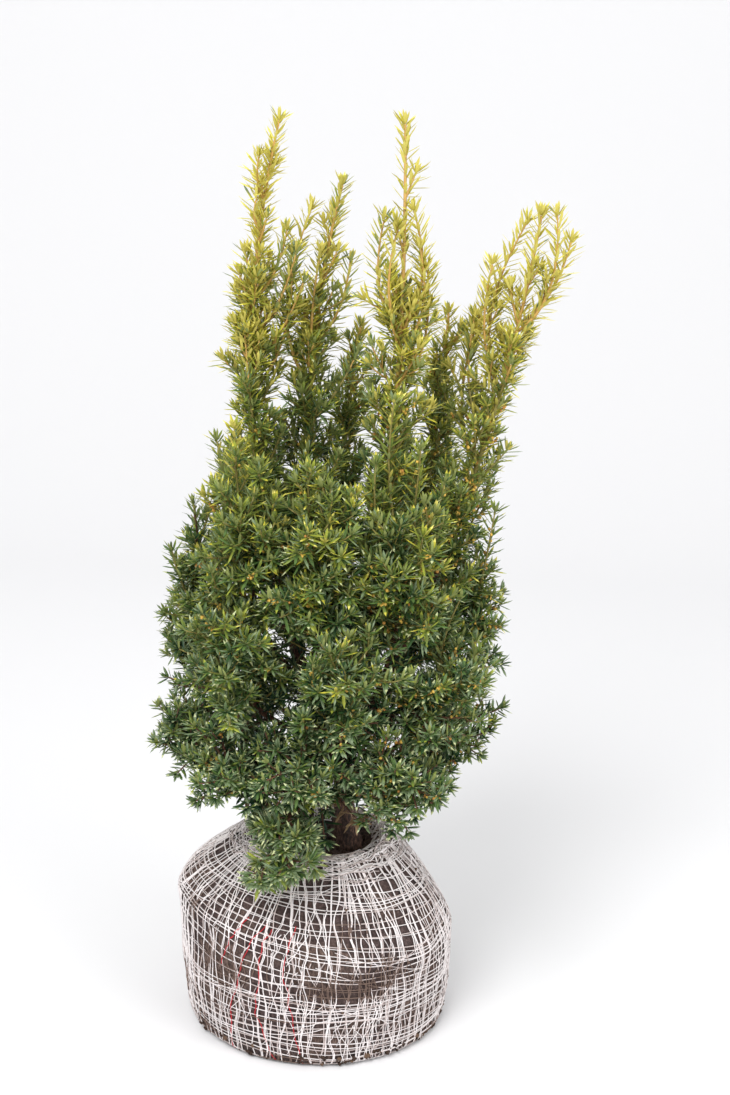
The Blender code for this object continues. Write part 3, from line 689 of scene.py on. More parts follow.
# Needles. Each has a root, a left, middle and right corner twice, and a point.
NEEDLE_FACES = np.array((
    (0, 3, 2), (0, 2, 1), (3, 5, 2), (2, 4, 1),
    (3, 6, 5), (2, 5, 4), (6, 7, 5), (5, 7, 4),
    (0, 1, 3), (1, 4, 6), (1, 6, 3), (4, 7, 6),
))
BODY_FACES = slice(0, 4)
EDGE_FACES = slice(4, 6)
POINT_FACES = slice(6, 8)
UNDER_FACES = slice(8, 12)
NEEDLE_ALONG = (0.0, 0.22, 0.22, 0.22, 0.72, 0.72, 0.72, 1.0)
NEEDLE_ASIDE = (0.0, -0.46, 0.0, 0.46, -0.50, 0.0, 0.50, 0.0)
NEEDLE_RIBBED = (0.0, 0.0, 1.0, 0.0, 0.0, 1.0, 0.0, 0.0)

Needles = namedtuple("Needles", "root direction up length width bend body edge point under")


def needle_places(needles):
    """Corners of every needle, as one array of places."""
    along = np.array(NEEDLE_ALONG)[None, :, None]
    aside = np.array(NEEDLE_ASIDE)[None, :, None]
    ribbed = np.array(NEEDLE_RIBBED)[None, :, None]
    side = unit(np.cross(needles.direction, needles.up))
    up = np.cross(side, needles.direction)
    length = needles.length[:, None, None]
    width = needles.width[:, None, None]
    places = needles.root[:, None, :] + needles.direction[:, None, :] * along * length
    places = places + side[:, None, :] * aside * width
    rise = ribbed * NEEDLE_RIB * width + needles.bend[:, None, None] * length * along ** 2
    return places + up[:, None, :] * rise


def needle_object(name, needles, materials):
    places = needle_places(needles)
    count = len(places)
    corners = NEEDLE_FACES[None] + (np.arange(count) * 8)[:, None, None]
    shades = np.empty((count, 12), int)
    shades[:, BODY_FACES] = needles.body[:, None]
    shades[:, EDGE_FACES] = needles.edge[:, None]
    shades[:, POINT_FACES] = needles.point[:, None]
    shades[:, UNDER_FACES] = needles.under[:, None]
    return array_object(name, places.reshape(-1, 3), corners.reshape(-1, 3), shades.ravel(),
                        materials)


# Colours of the needles: upper sides from the darkest to the palest, then undersides. The darkest
# also give the painted shade inside the crown, and the palest also give the painted glints on
# needle points.
UPPER_TINTS = (
    ("blue_green_needle", (0.014, 0.042, 0.022)),
    ("deep_green_needle", (0.030, 0.074, 0.022)),
    ("mid_green_needle", (0.090, 0.156, 0.042)),
    ("olive_needle", (0.170, 0.220, 0.040)),
    ("lime_needle", (0.300, 0.335, 0.046)),
    ("gold_needle", (0.525, 0.475, 0.052)),
    ("pale_gold_needle", (0.750, 0.685, 0.160)),
)
UNDER_TINTS = (
    ("grey_green_underside", (0.125, 0.180, 0.080)),
    ("pale_green_underside", (0.290, 0.330, 0.110)),
    ("pale_gold_underside", (0.620, 0.550, 0.130)),
)
DEAD_TINTS = (
    ("dead_needle", (0.190, 0.100, 0.052)),
    ("faded_needle", (0.360, 0.240, 0.140)),
)
# Painted sheen, grey-green, and painted glints, pale cream-green, on the outer halves and points
# of needles, mostly the lower ones
SHEEN_AND_GLINT_TINTS = (
    ("sheen_grey_green_needle", (0.175, 0.235, 0.125)),
    ("glint_tip_needle", (0.520, 0.560, 0.290)),
)
PALEST = len(UPPER_TINTS) - 1
GREY_UNDER = len(UPPER_TINTS)
PALE_UNDER = GREY_UNDER + 1
GOLD_UNDER = GREY_UNDER + 2
DEAD = GREY_UNDER + 3
FADED = GREY_UNDER + 4
SHEEN_GREY_UPPER = GREY_UNDER + 5
GLINT_TIP = GREY_UNDER + 6


def is_drooping(shoot):
    return shoot.mass.growth is DROOPING


def crown_edge(height):
    """Rough radius of the whole crown at a height."""
    return float(np.interp(height, (0.17, 0.24, 0.34, 0.46, 0.55, 0.75),
                           (0.10, 0.14, 0.145, 0.12, 0.11, 0.09)))


def shoot_tone(shoot, dice):
    """Tone of a shoot from 0, blue-green, to 6, pale gold. Shoots deep inside the crown and along
    the boughs are darkened as painted shade.
    """
    tip = shoot.places[-1]
    golden = float(np.interp(tip.z, (0.22, 0.40, 0.52, 0.62, 0.70), (0.7, 1.5, 2.4, 3.8, 5.0)))
    outward = math.hypot(tip.x - 0.01, tip.y) / crown_edge(tip.z)
    # Painted shade: the nearer the shoot's tip lies to the middle of the crown, the darker its
    # tone, and shoots along the boughs are darker still
    depth = min(max(1.0 - outward, 0.0), 0.6)
    if shoot.kind == "bough":
        depth += 0.45
    if is_drooping(shoot):
        golden += DROOPING_TONE
    return golden - 1.6 * depth + dice.gauss(0.50, 0.60)


def shoot_is_dead(shoot, dice):
    """Brown needles low inside the crown, round the trunk."""
    tip = shoot.places[-1]
    inside = math.hypot(tip.x - 0.02, tip.y) < 0.062
    return inside and tip.z < 0.27 and dice.random() < 0.65


def needle_pitch(shoot):
    """Distance along the shoot from one needle to the next."""
    height = shoot.places[-1].z
    if shoot.kind == "bough":
        return LOW_PITCH * 1.55
    if is_drooping(shoot):
        return LOW_PITCH * 1.25
    return by_level(LOW_PITCH, TOP_PITCH, height)


def needle_runs(shoot, length):
    """Where along the shoot the needles stand, with a tuft at its end."""
    first = length * shoot.leafy_from
    pitch = needle_pitch(shoot)
    if shoot.kind == "stem":
        pitch *= 0.8
    runs = list(np.arange(first, length, pitch))
    if shoot.mass.name == "tall_leader" and shoot.kind == "stem":
        upper = list(np.arange(length * 0.70, length * 0.93, SPARSE_PITCH))
        runs = [run for run in runs if not length * 0.70 < run < length * 0.93] + upper
    tuft = DROOPING_TUFT if is_drooping(shoot) else TUFT_NEEDLES
    return np.array(sorted(runs) + [length] * tuft), first, tuft


def along_line(line, runs, at):
    return np.stack([np.interp(at, runs, line[:, axis]) for axis in range(3)], axis=1)


def spiral(forward, flatness, chance):
    """Outward directions of needles round a shoot, opened to two sides where it lies flat."""
    sideways = unit(np.cross(forward, (0.0, 0.0, 1.0)))
    upward = np.cross(sideways, forward)
    angle = np.arange(len(forward)) * GOLDEN_ANGLE + chance.uniform(0.0, 6.28)
    angle = angle + chance.normal(0.0, 0.22, len(forward))
    parted = np.clip((flatness - 0.45) / 0.5, 0.0, 1.0) * chance.uniform(0.15, 0.65)
    height = np.sin(angle) * (1.0 - parted) + 0.25 * parted
    return unit(sideways * np.cos(angle)[:, None] + upward * height[:, None])


def shoot_needles(shoot, chance, dice):
    """Needles of one shoot, in a spiral along it that ends in a tuft."""
    line = np.array([place[:] for place in shoot.places])
    steps = np.linalg.norm(np.diff(line, axis=0), axis=1)
    runs = np.concatenate(([0.0], np.cumsum(steps)))
    along, first, tuft = needle_runs(shoot, runs[-1])
    total = len(along)
    root = along_line(line, runs, along)
    forward = unit(along_line(line, runs, along + 0.001) - along_line(line, runs, along - 0.002))
    flatness = np.linalg.norm(forward[:, :2], axis=1)
    outward = spiral(forward, flatness, chance)
    share = (along - first) / max(runs[-1] - first, 1e-6)
    level = float(shoot.places[-1].z)
    open_tilt = by_level(74.0, 60.0, level)
    tilt = np.radians(open_tilt - 14.0 * share ** 2 + chance.normal(0.0, 7.0, total))
    tilt[-tuft:] = np.radians(np.linspace(open_tilt - 4.0, 12.0, tuft))
    direction = unit(outward * np.sin(tilt)[:, None] + forward * np.cos(tilt)[:, None])
    sky = np.array((0.0, 0.0, 1.0))
    up = unit(forward * (1.0 - flatness[:, None] * 0.7) + sky * (0.15 + flatness[:, None] * 0.9)
              + chance.normal(0.0, 0.16, (total, 3)))
    short = np.interp(share, (0.0, 0.15, 0.75, 1.0), (0.75, 1.0, 1.0, 0.80))
    length = by_level(LOW_NEEDLE, TOP_NEEDLE, level) * short * chance.uniform(0.82, 1.12, total)
    if is_drooping(shoot):
        length *= DROOPING_NEEDLE
    length[-tuft:] *= np.linspace(1.05, 0.75, tuft)
    width = NEEDLE_WIDTH * chance.uniform(0.85, 1.12, total)
    bend = chance.normal(0.05, 0.05, total)
    tone = shoot_tone(shoot, dice) + chance.normal(0.0, 0.45, total) + 0.5 * share - 0.2
    body, edge, point, under = needle_shades(tone, level, chance)
    if shoot_is_dead(shoot, dice):
        shade = DEAD if dice.random() < 0.6 else FADED
        body[:], edge[:], point[:], under[:] = shade, shade, shade, shade
    return Needles(root, direction, up, length, width, bend, body, edge, point, under)


def needle_shades(tone, level, chance):
    """Shades of a needle's root half, outer half, point and underside, from its tone. Pale
    points, and some outer halves next to them, are painted glints; grey-green outer halves and
    points are painted sheen.
    """
    total = len(tone)
    body = np.clip(np.round(tone), 0, PALEST).astype(int)
    edge = np.clip(np.round(tone + 0.6), 0, PALEST).astype(int)
    # Painted glints: a share of the needles, larger higher up, get pale points from lime to pale
    # gold, and almost half of these get a paler outer half too
    pale = chance.random(total) < by_level(0.30, 0.50, level)
    point = np.where(pale, np.clip(np.round(tone + 2.6), 4, PALEST), edge).astype(int)
    edge = np.where(pale & (chance.random(total) < 0.45), point - 1, edge)
    # Painted sheen: low down, most needles get grey-green outer halves and points, fewer higher
    # up
    sheen_share = float(np.interp(level, (0.20, 0.26, 0.50), (0.78, 0.62, 0.08)))
    grey = (chance.random(total) < sheen_share) & (tone > 0.2)
    edge = np.where(grey, SHEEN_GREY_UPPER, edge)
    point = np.where(grey, SHEEN_GREY_UPPER, point)
    # Painted glints, mostly low down: some pale points turn pale cream-green
    point = np.where(pale & (chance.random(total) < sheen_share * 1.5), GLINT_TIP, point)
    under = np.where(tone > 3.4, GOLD_UNDER, np.where(tone > 1.0, PALE_UNDER, GREY_UNDER))
    return body, edge, point, under


def joined_needles(parts):
    return Needles(*(np.concatenate(column) for column in zip(*parts)))


# Thin tubes: twigs and threads

def tube_arrays(line, radii, sides):
    """Places and triangles of a closed thin tube."""
    line = np.asarray(line)
    count = len(line)
    forward = unit(np.gradient(line, axis=0))
    side = unit(np.cross(forward, (0.31, 0.17, 0.93)))
    across = np.cross(forward, side)
    angles = 2.0 * math.pi * np.arange(sides) / sides
    ring = side[:, None, :] * np.cos(angles)[None, :, None]
    ring = ring + across[:, None, :] * np.sin(angles)[None, :, None]
    places = line[:, None, :] + ring * np.asarray(radii)[:, None, None]
    places = np.concatenate((places.reshape(-1, 3), line[:1], line[-1:]))
    start = count * sides
    this = np.arange(sides)
    following = (this + 1) % sides
    faces = []
    for step in range(count - 1):
        low = step * sides
        high = low + sides
        faces.append(np.stack((low + this, low + following, high + following), axis=1))
        faces.append(np.stack((low + this, high + following, high + this), axis=1))
    faces.append(np.stack((following, this, np.full(sides, start)), axis=1))
    last = (count - 1) * sides
    faces.append(np.stack((last + this, last + following, np.full(sides, start + 1)), axis=1))
    return places, np.concatenate(faces)


def joined_tubes(name, tubes, materials, smooth=True):
    """One mesh of many tubes: for each a line, its radii, its sides and a shade per step."""
    places = []
    faces = []
    shades = []
    offset = 0
    for line, radii, sides, shade in tubes:
        spots, corners = tube_arrays(line, radii, sides)
        places.append(spots)
        faces.append(corners + offset)
        steps = np.broadcast_to(shade, len(line) - 1)
        ends = np.concatenate((np.full(sides, steps[0]), np.full(sides, steps[-1])))
        shades.append(np.concatenate((np.repeat(steps, sides * 2), ends)))
        offset += len(spots)
    return array_object(name, np.concatenate(places), np.concatenate(faces),
                        np.concatenate(shades), materials, smooth)


def twig_tubes(shoots):
    """Tubes of the shoots' own wood, orange on the golden leaders and red-brown below."""
    tubes = []
    for shoot in shoots:
        steps = {"stem": 36, "twin": 10, "spray": 6}.get(shoot.kind, 3)
        places = even_places(shoot.places, steps)
        radii = np.linspace(shoot.root_radius, shoot.tip_radius, steps + 1)
        heights = np.array([place.z for place in places[1:]])
        shade = np.where(heights > 0.56, 0, np.where(heights > 0.44, 1, 2))
        if shoot.kind != "stem":
            shade = np.where(heights > 0.56, 0, np.where(heights > 0.30, 1, 2))
        sides = {"stem": 6, "twin": 5, "spray": 4}.get(shoot.kind, 3)
        tubes.append(([place[:] for place in places], radii, sides, shade))
    return tubes


# Materials

OLD_BARK = ((0.014, 0.008, 0.006), (0.060, 0.030, 0.021), (0.190, 0.105, 0.072))
RED_BARK = ((0.035, 0.014, 0.009), (0.120, 0.050, 0.029), (0.300, 0.150, 0.090))
DARK_SOIL = ((0.018, 0.011, 0.010), (0.076, 0.047, 0.043), (0.200, 0.138, 0.128))
BROWN_SOIL = ((0.036, 0.022, 0.017), (0.122, 0.077, 0.062), (0.280, 0.195, 0.160))
BARK_STOPS = (0.40, 0.50, 0.62)
SOIL_STOPS = (0.36, 0.52, 0.68)


def new_material(name):
    """A new material, with its nodes, its links and its shader."""
    material = bpy.data.materials.new(name)
    material.use_nodes = True
    tree = material.node_tree
    return material, tree.nodes, tree.links, tree.nodes["Principled BSDF"]


def plain_material(name, colour, roughness, specular=0.5):
    material, _, _, shader = new_material(name)
    shader.inputs["Base Color"].default_value = (*colour, 1.0)
    shader.inputs["Roughness"].default_value = roughness
    shader.inputs["Specular IOR Level"].default_value = specular
    return material


def plain_materials(rows):
    """Plain materials from rows of a name, a colour, a roughness and a shine."""
    return [plain_material(*row) for row in rows]


def add_node(nodes, kind, values):
    """A shader node of one kind, with values on its own sockets."""
    node = nodes.new("ShaderNode" + kind)
    for socket, value in values.items():
        node.inputs[socket].default_value = value
    return node


def add_noise(nodes, links, vector, scale, detail, roughness):
    noise = add_node(nodes, "TexNoise", {"Scale": scale, "Detail": detail,
                                         "Roughness": roughness})
    links.new(vector, noise.inputs["Vector"])
    return noise.outputs["Fac"]


def add_range(nodes, links, value, limits):
    """A value brought into limits, given by the names of their sockets."""
    spread = add_node(nodes, "MapRange", limits)
    links.new(value, spread.inputs["Value"])
    return spread.outputs["Result"]


def add_ramp(nodes, links, value, positions, colours):
    """Colours by a value, with one colour at each position."""
    ramp = nodes.new("ShaderNodeValToRGB")
    links.new(value, ramp.inputs["Fac"])
    elements = ramp.color_ramp.elements
    while len(elements) < len(positions):
        elements.new(0.5)
    for element, position, colour in zip(elements, positions, colours):
        element.position = position
        element.color = (*colour, 1.0)
    return ramp.outputs["Color"]


def add_bump(nodes, links, height, distance, shader):
    bump = add_node(nodes, "Bump", {"Strength": 0.9, "Distance": distance})
    links.new(height, bump.inputs["Height"])
    links.new(bump.outputs["Normal"], shader.inputs["Normal"])


def flaking_group():
    """Pattern of bark that flakes in narrow strips along the limb."""
    group = bpy.data.node_groups.new("flaking_bark", "ShaderNodeTree")
    for name, way, kind in (("Strip Length", "INPUT", "NodeSocketVector"),
                            ("Flakes", "OUTPUT", "NodeSocketFloat"),
                            ("Roughness", "OUTPUT", "NodeSocketFloat")):
        group.interface.new_socket(name, in_out=way, socket_type=kind)
    nodes = group.nodes
    links = group.links
    entry = nodes.new("NodeGroupInput")
    leave = nodes.new("NodeGroupOutput")
    mapping = nodes.new("ShaderNodeMapping")
    coordinates = nodes.new("ShaderNodeTexCoord")
    links.new(coordinates.outputs["Object"], mapping.inputs["Vector"])
    links.new(entry.outputs["Strip Length"], mapping.inputs["Scale"])
    both = add_node(nodes, "Mix", {"Factor": 0.4})
    for socket, scale, roughness in (("A", 260.0, 0.6), ("B", 1100.0, 0.7)):
        noise = add_noise(nodes, links, mapping.outputs["Vector"], scale, 3.0, roughness)
        links.new(noise, both.inputs[socket])
    flakes = both.outputs["Result"]
    links.new(flakes, leave.inputs["Flakes"])
    rough = add_range(nodes, links, flakes, {"To Min": 0.65, "To Max": 0.95})
    links.new(rough, leave.inputs["Roughness"])
    return group


def bark_material(name, group, strips, colours):
    """Bark from its dark cracks to its light flakes."""
    material, nodes, links, shader = new_material(name)
    pattern = nodes.new("ShaderNodeGroup")
    pattern.node_tree = group
    pattern.inputs["Strip Length"].default_value = strips
    flakes = pattern.outputs["Flakes"]
    colour = add_ramp(nodes, links, flakes, BARK_STOPS, colours)
    links.new(colour, shader.inputs["Base Color"])
    links.new(pattern.outputs["Roughness"], shader.inputs["Roughness"])
    add_bump(nodes, links, flakes, 0.0012, shader)
    return material


def soil_material():
    """Dark damp soil with paler fibrous patches."""
    material, nodes, links, shader = new_material("fibrous_soil")
    coordinates = nodes.new("ShaderNodeTexCoord").outputs["Object"]
    drawn = add_node(nodes, "Mapping", {"Scale": (1.0, 1.0, 0.35)})
    links.new(coordinates, drawn.inputs["Vector"])
    grains = add_noise(nodes, links, coordinates, 330.0, 6.0, 0.85)
    patches = add_noise(nodes, links, coordinates, 17.0, 3.0, 0.5)
    fibres = add_noise(nodes, links, drawn.outputs["Vector"], 520.0, 5.0, 0.7)
    where = add_range(nodes, links, patches, {"From Min": 0.47, "From Max": 0.60})
    mix = nodes.new("ShaderNodeMix")
    mix.data_type = "RGBA"
    links.new(where, mix.inputs["Factor"])
    links.new(add_ramp(nodes, links, grains, SOIL_STOPS, DARK_SOIL), mix.inputs[6])
    links.new(add_ramp(nodes, links, fibres, SOIL_STOPS, BROWN_SOIL), mix.inputs[7])
    links.new(mix.outputs[2], shader.inputs["Base Color"])
    rough = add_range(nodes, links, grains, {"To Min": 0.80, "To Max": 1.0})
    links.new(rough, shader.inputs["Roughness"])
    add_bump(nodes, links, grains, 0.0022, shader)
    return material


# Modelled pieces

def deselect_all():
    if bpy.context.mode != "OBJECT":
        bpy.ops.object.mode_set(mode="OBJECT")
    bpy.ops.object.select_all(action="DESELECT")


def make_active(thing):
    deselect_all()
    thing.select_set(True)
    bpy.context.view_layer.objects.active = thing


def apply_all_modifiers(thing):
    make_active(thing)
    for modifier in list(thing.modifiers):
        bpy.ops.object.modifier_apply(modifier=modifier.name)


def add_faces(thing, kind, levels):
    """Splits every face of a piece, rounding it or not by the kind."""
    finer = thing.modifiers.new("finer", "SUBSURF")
    finer.subdivision_type = kind
    finer.levels = levels
    finer.render_levels = levels


def add_relief(thing, pattern, size, depth, middle):
    """Raises and sinks the surface by a cloudy pattern."""
    texture = bpy.data.textures.new(pattern, "CLOUDS")
    texture.noise_scale = size
    texture.noise_depth = 3
    modifier = thing.modifiers.new(pattern, "DISPLACE")
    modifier.texture = texture
    modifier.strength = depth
    modifier.mid_level = middle
    modifier.texture_coords = "LOCAL"


def finish_piece(thing, slot, *nodes):
    """Ties a finished piece to the plant, in place of the plain solids it stands for."""
    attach(thing, "root")
    if nodes:
        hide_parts(*nodes)


def start_ring(name, sides, radius, place):
    """A flat round face in edit mode, with the ring of edges round it selected."""
    deselect_all()
    bpy.ops.mesh.primitive_circle_add(vertices=sides, radius=radius, fill_type="NGON",
                                      location=place)
    thing = bpy.context.view_layer.objects.active
    thing.name = name
    bpy.ops.object.transform_apply(location=True, rotation=True, scale=True)
    bpy.ops.object.mode_set(mode="EDIT")
    bpy.ops.mesh.select_mode(type="EDGE")
    bpy.ops.mesh.select_all(action="SELECT")
    return thing


def draw_ring(step, scale, middle):
    """Draws the selected ring out by a step, and resizes it about its new middle."""
    bpy.ops.mesh.extrude_edges_move(TRANSFORM_OT_translate={"value": step})
    bpy.ops.transform.resize(value=scale, center_override=middle)


def close_ring():
    bpy.ops.mesh.edge_face_add()
    bpy.ops.mesh.select_all(action="SELECT")
    bpy.ops.mesh.normals_make_consistent(inside=False)
    bpy.ops.object.mode_set(mode="OBJECT")


LIMB_RING_STEP = 4
BURIED_FOOT = 0.006


def build_upright(node, limb, material, slot):
    """Trunk or left stem: a ring drawn up from below the soil along the limb."""
    places = limb.places[::LIMB_RING_STEP]
    radii = limb.radii[::LIMB_RING_STEP]
    before = places[0] - UP * BURIED_FOOT
    wide = radii[0] * 1.1
    thing = start_ring(node + "_bark", 20, wide, before)
    for place, radius in zip(places, radii):
        scale = radius / wide
        draw_ring(place - before, (scale, scale, 1.0), place)
        before = place
        wide = radius
    draw_ring(UP * wide * 0.5, (0.6, 0.6, 1.0), before + UP * wide * 0.5)
    close_ring()
    add_faces(thing, "CATMULL_CLARK", 3)
    add_relief(thing, "bark_ridges", 0.0062, 0.0032, 0.5)
    add_relief(thing, "bark_flakes", 0.0016, 0.0010, 0.5)
    apply_all_modifiers(thing)
    bpy.ops.object.shade_smooth()
    thing.data.materials.append(material)
    finish_piece(thing, slot, node)


def build_boughs(limbs, material):
    """Round tapering boughs along their curves, with a light relief."""
    curve = bpy.data.curves.new("bough_bark", "CURVE")
    curve.dimensions = "3D"
    curve.bevel_depth = 1.0
    curve.bevel_resolution = 3
    curve.use_fill_caps = True
    for mass in MASSES:
        limb = limbs[mass.name]
        spline = curve.splines.new("POLY")
        spline.points.add(len(limb.places) - 1)
        for point, place, radius in zip(spline.points, limb.places, limb.radii):
            point.co = (*place, 1.0)
            point.radius = radius
    boughs = bpy.data.objects.new("bough_bark", curve)
    bpy.context.scene.collection.objects.link(boughs)
    make_active(boughs)
    bpy.ops.object.convert(target="MESH")
    boughs = bpy.context.view_layer.objects.active
    bpy.ops.object.shade_smooth()
    add_relief(boughs, "bough_grain", 0.0024, 0.0013, 0.5)
    apply_all_modifiers(boughs)
    boughs.data.materials.append(material)
    finish_piece(boughs, "young_bark", *[mass.name + "_bough" for mass in MASSES])


def build_limbs(limbs):
    flaking = flaking_group()
    old_bark = bark_material("old_bark", flaking, (1.0, 1.0, 0.30), OLD_BARK)
    red_bark = bark_material("red_bark", flaking, (1.0, 1.0, 0.45), RED_BARK)
    build_upright("trunk", limbs["trunk"], old_bark, "bark")
    build_upright("left_stem", limbs["left_stem"], red_bark, "bark")
    build_boughs(limbs, red_bark)


# Root ball

FRONT = -math.pi / 2.0


def settle_on_ball(thing):
    """Moves the ball drawn by its front profile to its tilted shoulder, lean and lumps."""
    shoulder = shoulder_at(FRONT)
    top = RIM_HEIGHT - RIM_ROLL
    for vertex in thing.data.vertices:
        place = vertex.co
        radius = math.hypot(place.x, place.y)
        height = place.z
        if radius < RIM_RADIUS - 0.0001 and height > SOIL_LEVEL - 0.02:
            continue
        angle = math.atan2(place.y, place.x)
        there = shoulder_at(angle)
        if height < 0.0002:
            radius *= ball_radius_at(angle, 0.0) / ball_radius_at(FRONT, 0.0)
        else:
            if height < shoulder:
                height *= there / shoulder
            else:
                height = there + (height - shoulder) * (top - there) / (top - shoulder)
            radius = ball_radius_at(angle, height) + ball_lump(angle, height)
        vertex.co = (radius * math.cos(angle), radius * math.sin(angle), max(height, 0.0))


def build_soil():
    """Soil of the root ball: rings drawn up by its profile, settled, lumped and roughened."""
    shoulder = shoulder_at(FRONT)
    top = RIM_HEIGHT - RIM_ROLL - shoulder
    heights = [shoulder * share for share in SIDE_RINGS]
    heights += [shoulder + top * share for share in TOP_RINGS]
    rows = [(height, ball_radius_at(FRONT, height)) for height in heights]
    rows += [(RIM_HEIGHT - 0.0005, RIM_RADIUS - 0.004), (SOIL_LEVEL + 0.003, MOUTH_RADIUS),
             (SOIL_LEVEL, MOUTH_RADIUS - 0.010), (SOIL_LEVEL + 0.001, 0.020)]
    soil = start_ring("soil_ball", BALL_SIDES, rows[0][1], (0.0, 0.0, 0.0))
    for (low, wide), (high, narrow) in zip(rows, rows[1:]):
        scale = narrow / wide
        draw_ring((0.0, 0.0, high - low), (scale, scale, 1.0), (0.0, 0.0, high))
    close_ring()
    add_faces(soil, "SIMPLE", 2)
    apply_all_modifiers(soil)
    settle_on_ball(soil)
    add_relief(soil, "soil_clods", 0.0090, 0.0030, 0.62)
    add_relief(soil, "soil_crumbs", 0.0032, 0.0024, 0.62)
    apply_all_modifiers(soil)
    for vertex in soil.data.vertices:
        vertex.co.z = max(vertex.co.z, 0.0)
    bpy.ops.object.shade_smooth()
    soil.data.materials.append(soil_material())
    finish_piece(soil, "netted_soil", "root_ball")


# Netting

WHITE, GREYED, STAINED_SHADED, RED = range(4)

# Brown bands on the netting: angle in degrees, share down, and their spreads. The four bands just
# below the front shoulder are painted shade under it as well as soil come through; the others
# darken the netting at the places listed, several of them near the foot.
StainShadeBand = namedtuple("StainShadeBand", "angle share wide high")
STAIN_SHADE_BANDS = (
    StainShadeBand(-130.0, 0.58, 15.0, 0.09),
    StainShadeBand(-84.0, 0.60, 12.0, 0.06),
    StainShadeBand(-68.0, 0.55, 12.0, 0.08),
    StainShadeBand(-54.0, 0.49, 12.0, 0.07),
    StainShadeBand(-150.0, 0.42, 9.0, 0.07),
    StainShadeBand(-140.0, 0.95, 10.0, 0.04),
    StainShadeBand(-100.0, 0.99, 14.0, 0.03),
    StainShadeBand(-72.0, 0.30, 7.0, 0.04),
    StainShadeBand(40.0, 0.62, 26.0, 0.12),
    StainShadeBand(125.0, 0.55, 30.0, 0.10),
    StainShadeBand(-20.0, 0.98, 16.0, 0.04),
    StainShadeBand(-175.0, 0.86, 18.0, 0.06),
)


def staining_and_shade(angle, share):
    """How dark the netting is at a place, from 0 to 1 and more: stain, and painted shade below
    the front shoulder.
    """
    amount = 0.0
    for dark_band in STAIN_SHADE_BANDS:
        turn = (math.degrees(angle) - dark_band.angle + 180.0) % 360.0 - 180.0
        away = (turn / dark_band.wide) ** 2 + ((share - dark_band.share) / dark_band.high) ** 2
        amount += math.exp(-away)
    return amount


def wander(dice, count, size, waves):
    """Slow random drift along a thread."""
    share = np.linspace(0.0, 1.0, count)
    drift = np.zeros(count)
    for wave in range(1, waves + 1):
        phase = dice.uniform(0.0, 2.0 * math.pi)
        drift += dice.gauss(0.0, 1.0) / wave ** 0.7 * np.sin(share * math.pi * 2.0 * wave + phase)
    return drift * size


class Net:
    """Threads laid over the ball, with their shades."""

    def __init__(self):
        self.dice = random.Random(NET_SEED)
        self.tubes = []

    def add(self, angles, shares, radius, lift=0.0006, shade=None):
        shares = np.clip(shares, -TUCK_SHARE, 1.0)
        line = np.array([ball_place(angle, share, lift)
                         for angle, share in zip(angles, shares)])
        line[:, 2] = np.maximum(line[:, 2], radius)
        if shade is None:
            shade = self.shades(angles, shares)
        self.tubes.append((line, np.full(len(line), radius), 3, shade))

    def shades(self, angles, shares):
        """White where clean, greyed or stained where soil has come through, and darker in the
        painted shade below the front shoulder.
        """
        luck = self.dice.uniform(-0.55, 0.60)
        amounts = np.array([staining_and_shade(angle, share) for angle, share in
                            zip(angles[1:], shares[1:])]) + luck + 0.12 * shares[1:]
        amounts = amounts + wander(self.dice, len(amounts), 0.07, 9)
        return np.where(amounts < 0.42, WHITE, np.where(amounts < 0.74, GREYED, STAINED_SHADED))


def gathered(angles, shares):
    """Angles drawn together into pleats near the rim."""
    pull = np.clip(1.0 - shares / 0.34, 0.0, 1.0) ** 1.4
    return angles + pull * (0.09 * np.sin(9.0 * angles + 1.0) + 0.045 * np.sin(17.0 * angles))


def lay_warps(net):
    """Threads that run down from the rim over the shoulder to the foot, many of them doubled."""
    dice = net.dice
    count = 42
    for index in range(WARP_THREADS):
        shares = np.linspace(-dice.uniform(0.02, TUCK_SHARE), 1.0, count)
        angle = 2.0 * math.pi * (index + dice.uniform(-0.3, 0.3)) / WARP_THREADS
        angles = gathered(angle + wander(dice, count, 0.014, 9), shares)
        net.add(angles, shares, THREAD_RADIUS * dice.uniform(0.8, 1.2))
        if dice.random() < 0.6:
            apart = dice.uniform(0.008, 0.020) * dice.choice((-1, 1))
            beside = angles + apart * np.cos(shares * dice.uniform(3.0, 9.0))
            net.add(beside, shares, THREAD_RADIUS * dice.uniform(0.6, 0.9), 0.0009)


def lay_wefts(net):
    """Threads that run round the ball, sagging a little between the others."""
    dice = net.dice
    count = 190
    angles = np.linspace(0.0, 2.0 * math.pi, count)
    for index in range(WEFT_THREADS):
        base = (index + 0.55 + dice.uniform(-0.2, 0.2)) / WEFT_THREADS
        tilt = 0.012 * np.sin(2.0 * angles + 0.35 * index) + 0.008 * np.sin(3.0 * angles + index)
        shares = base + tilt + wander(dice, count, 0.0040, 14)
        net.add(angles, shares, THREAD_RADIUS * dice.uniform(0.8, 1.15))
        if dice.random() < 0.6:
            apart = dice.uniform(0.007, 0.018) * (1.0 + 0.8 * np.sin(angles * 2.0 + index))
            net.add(angles, shares + apart, THREAD_RADIUS * dice.uniform(0.6, 0.9), 0.0010)


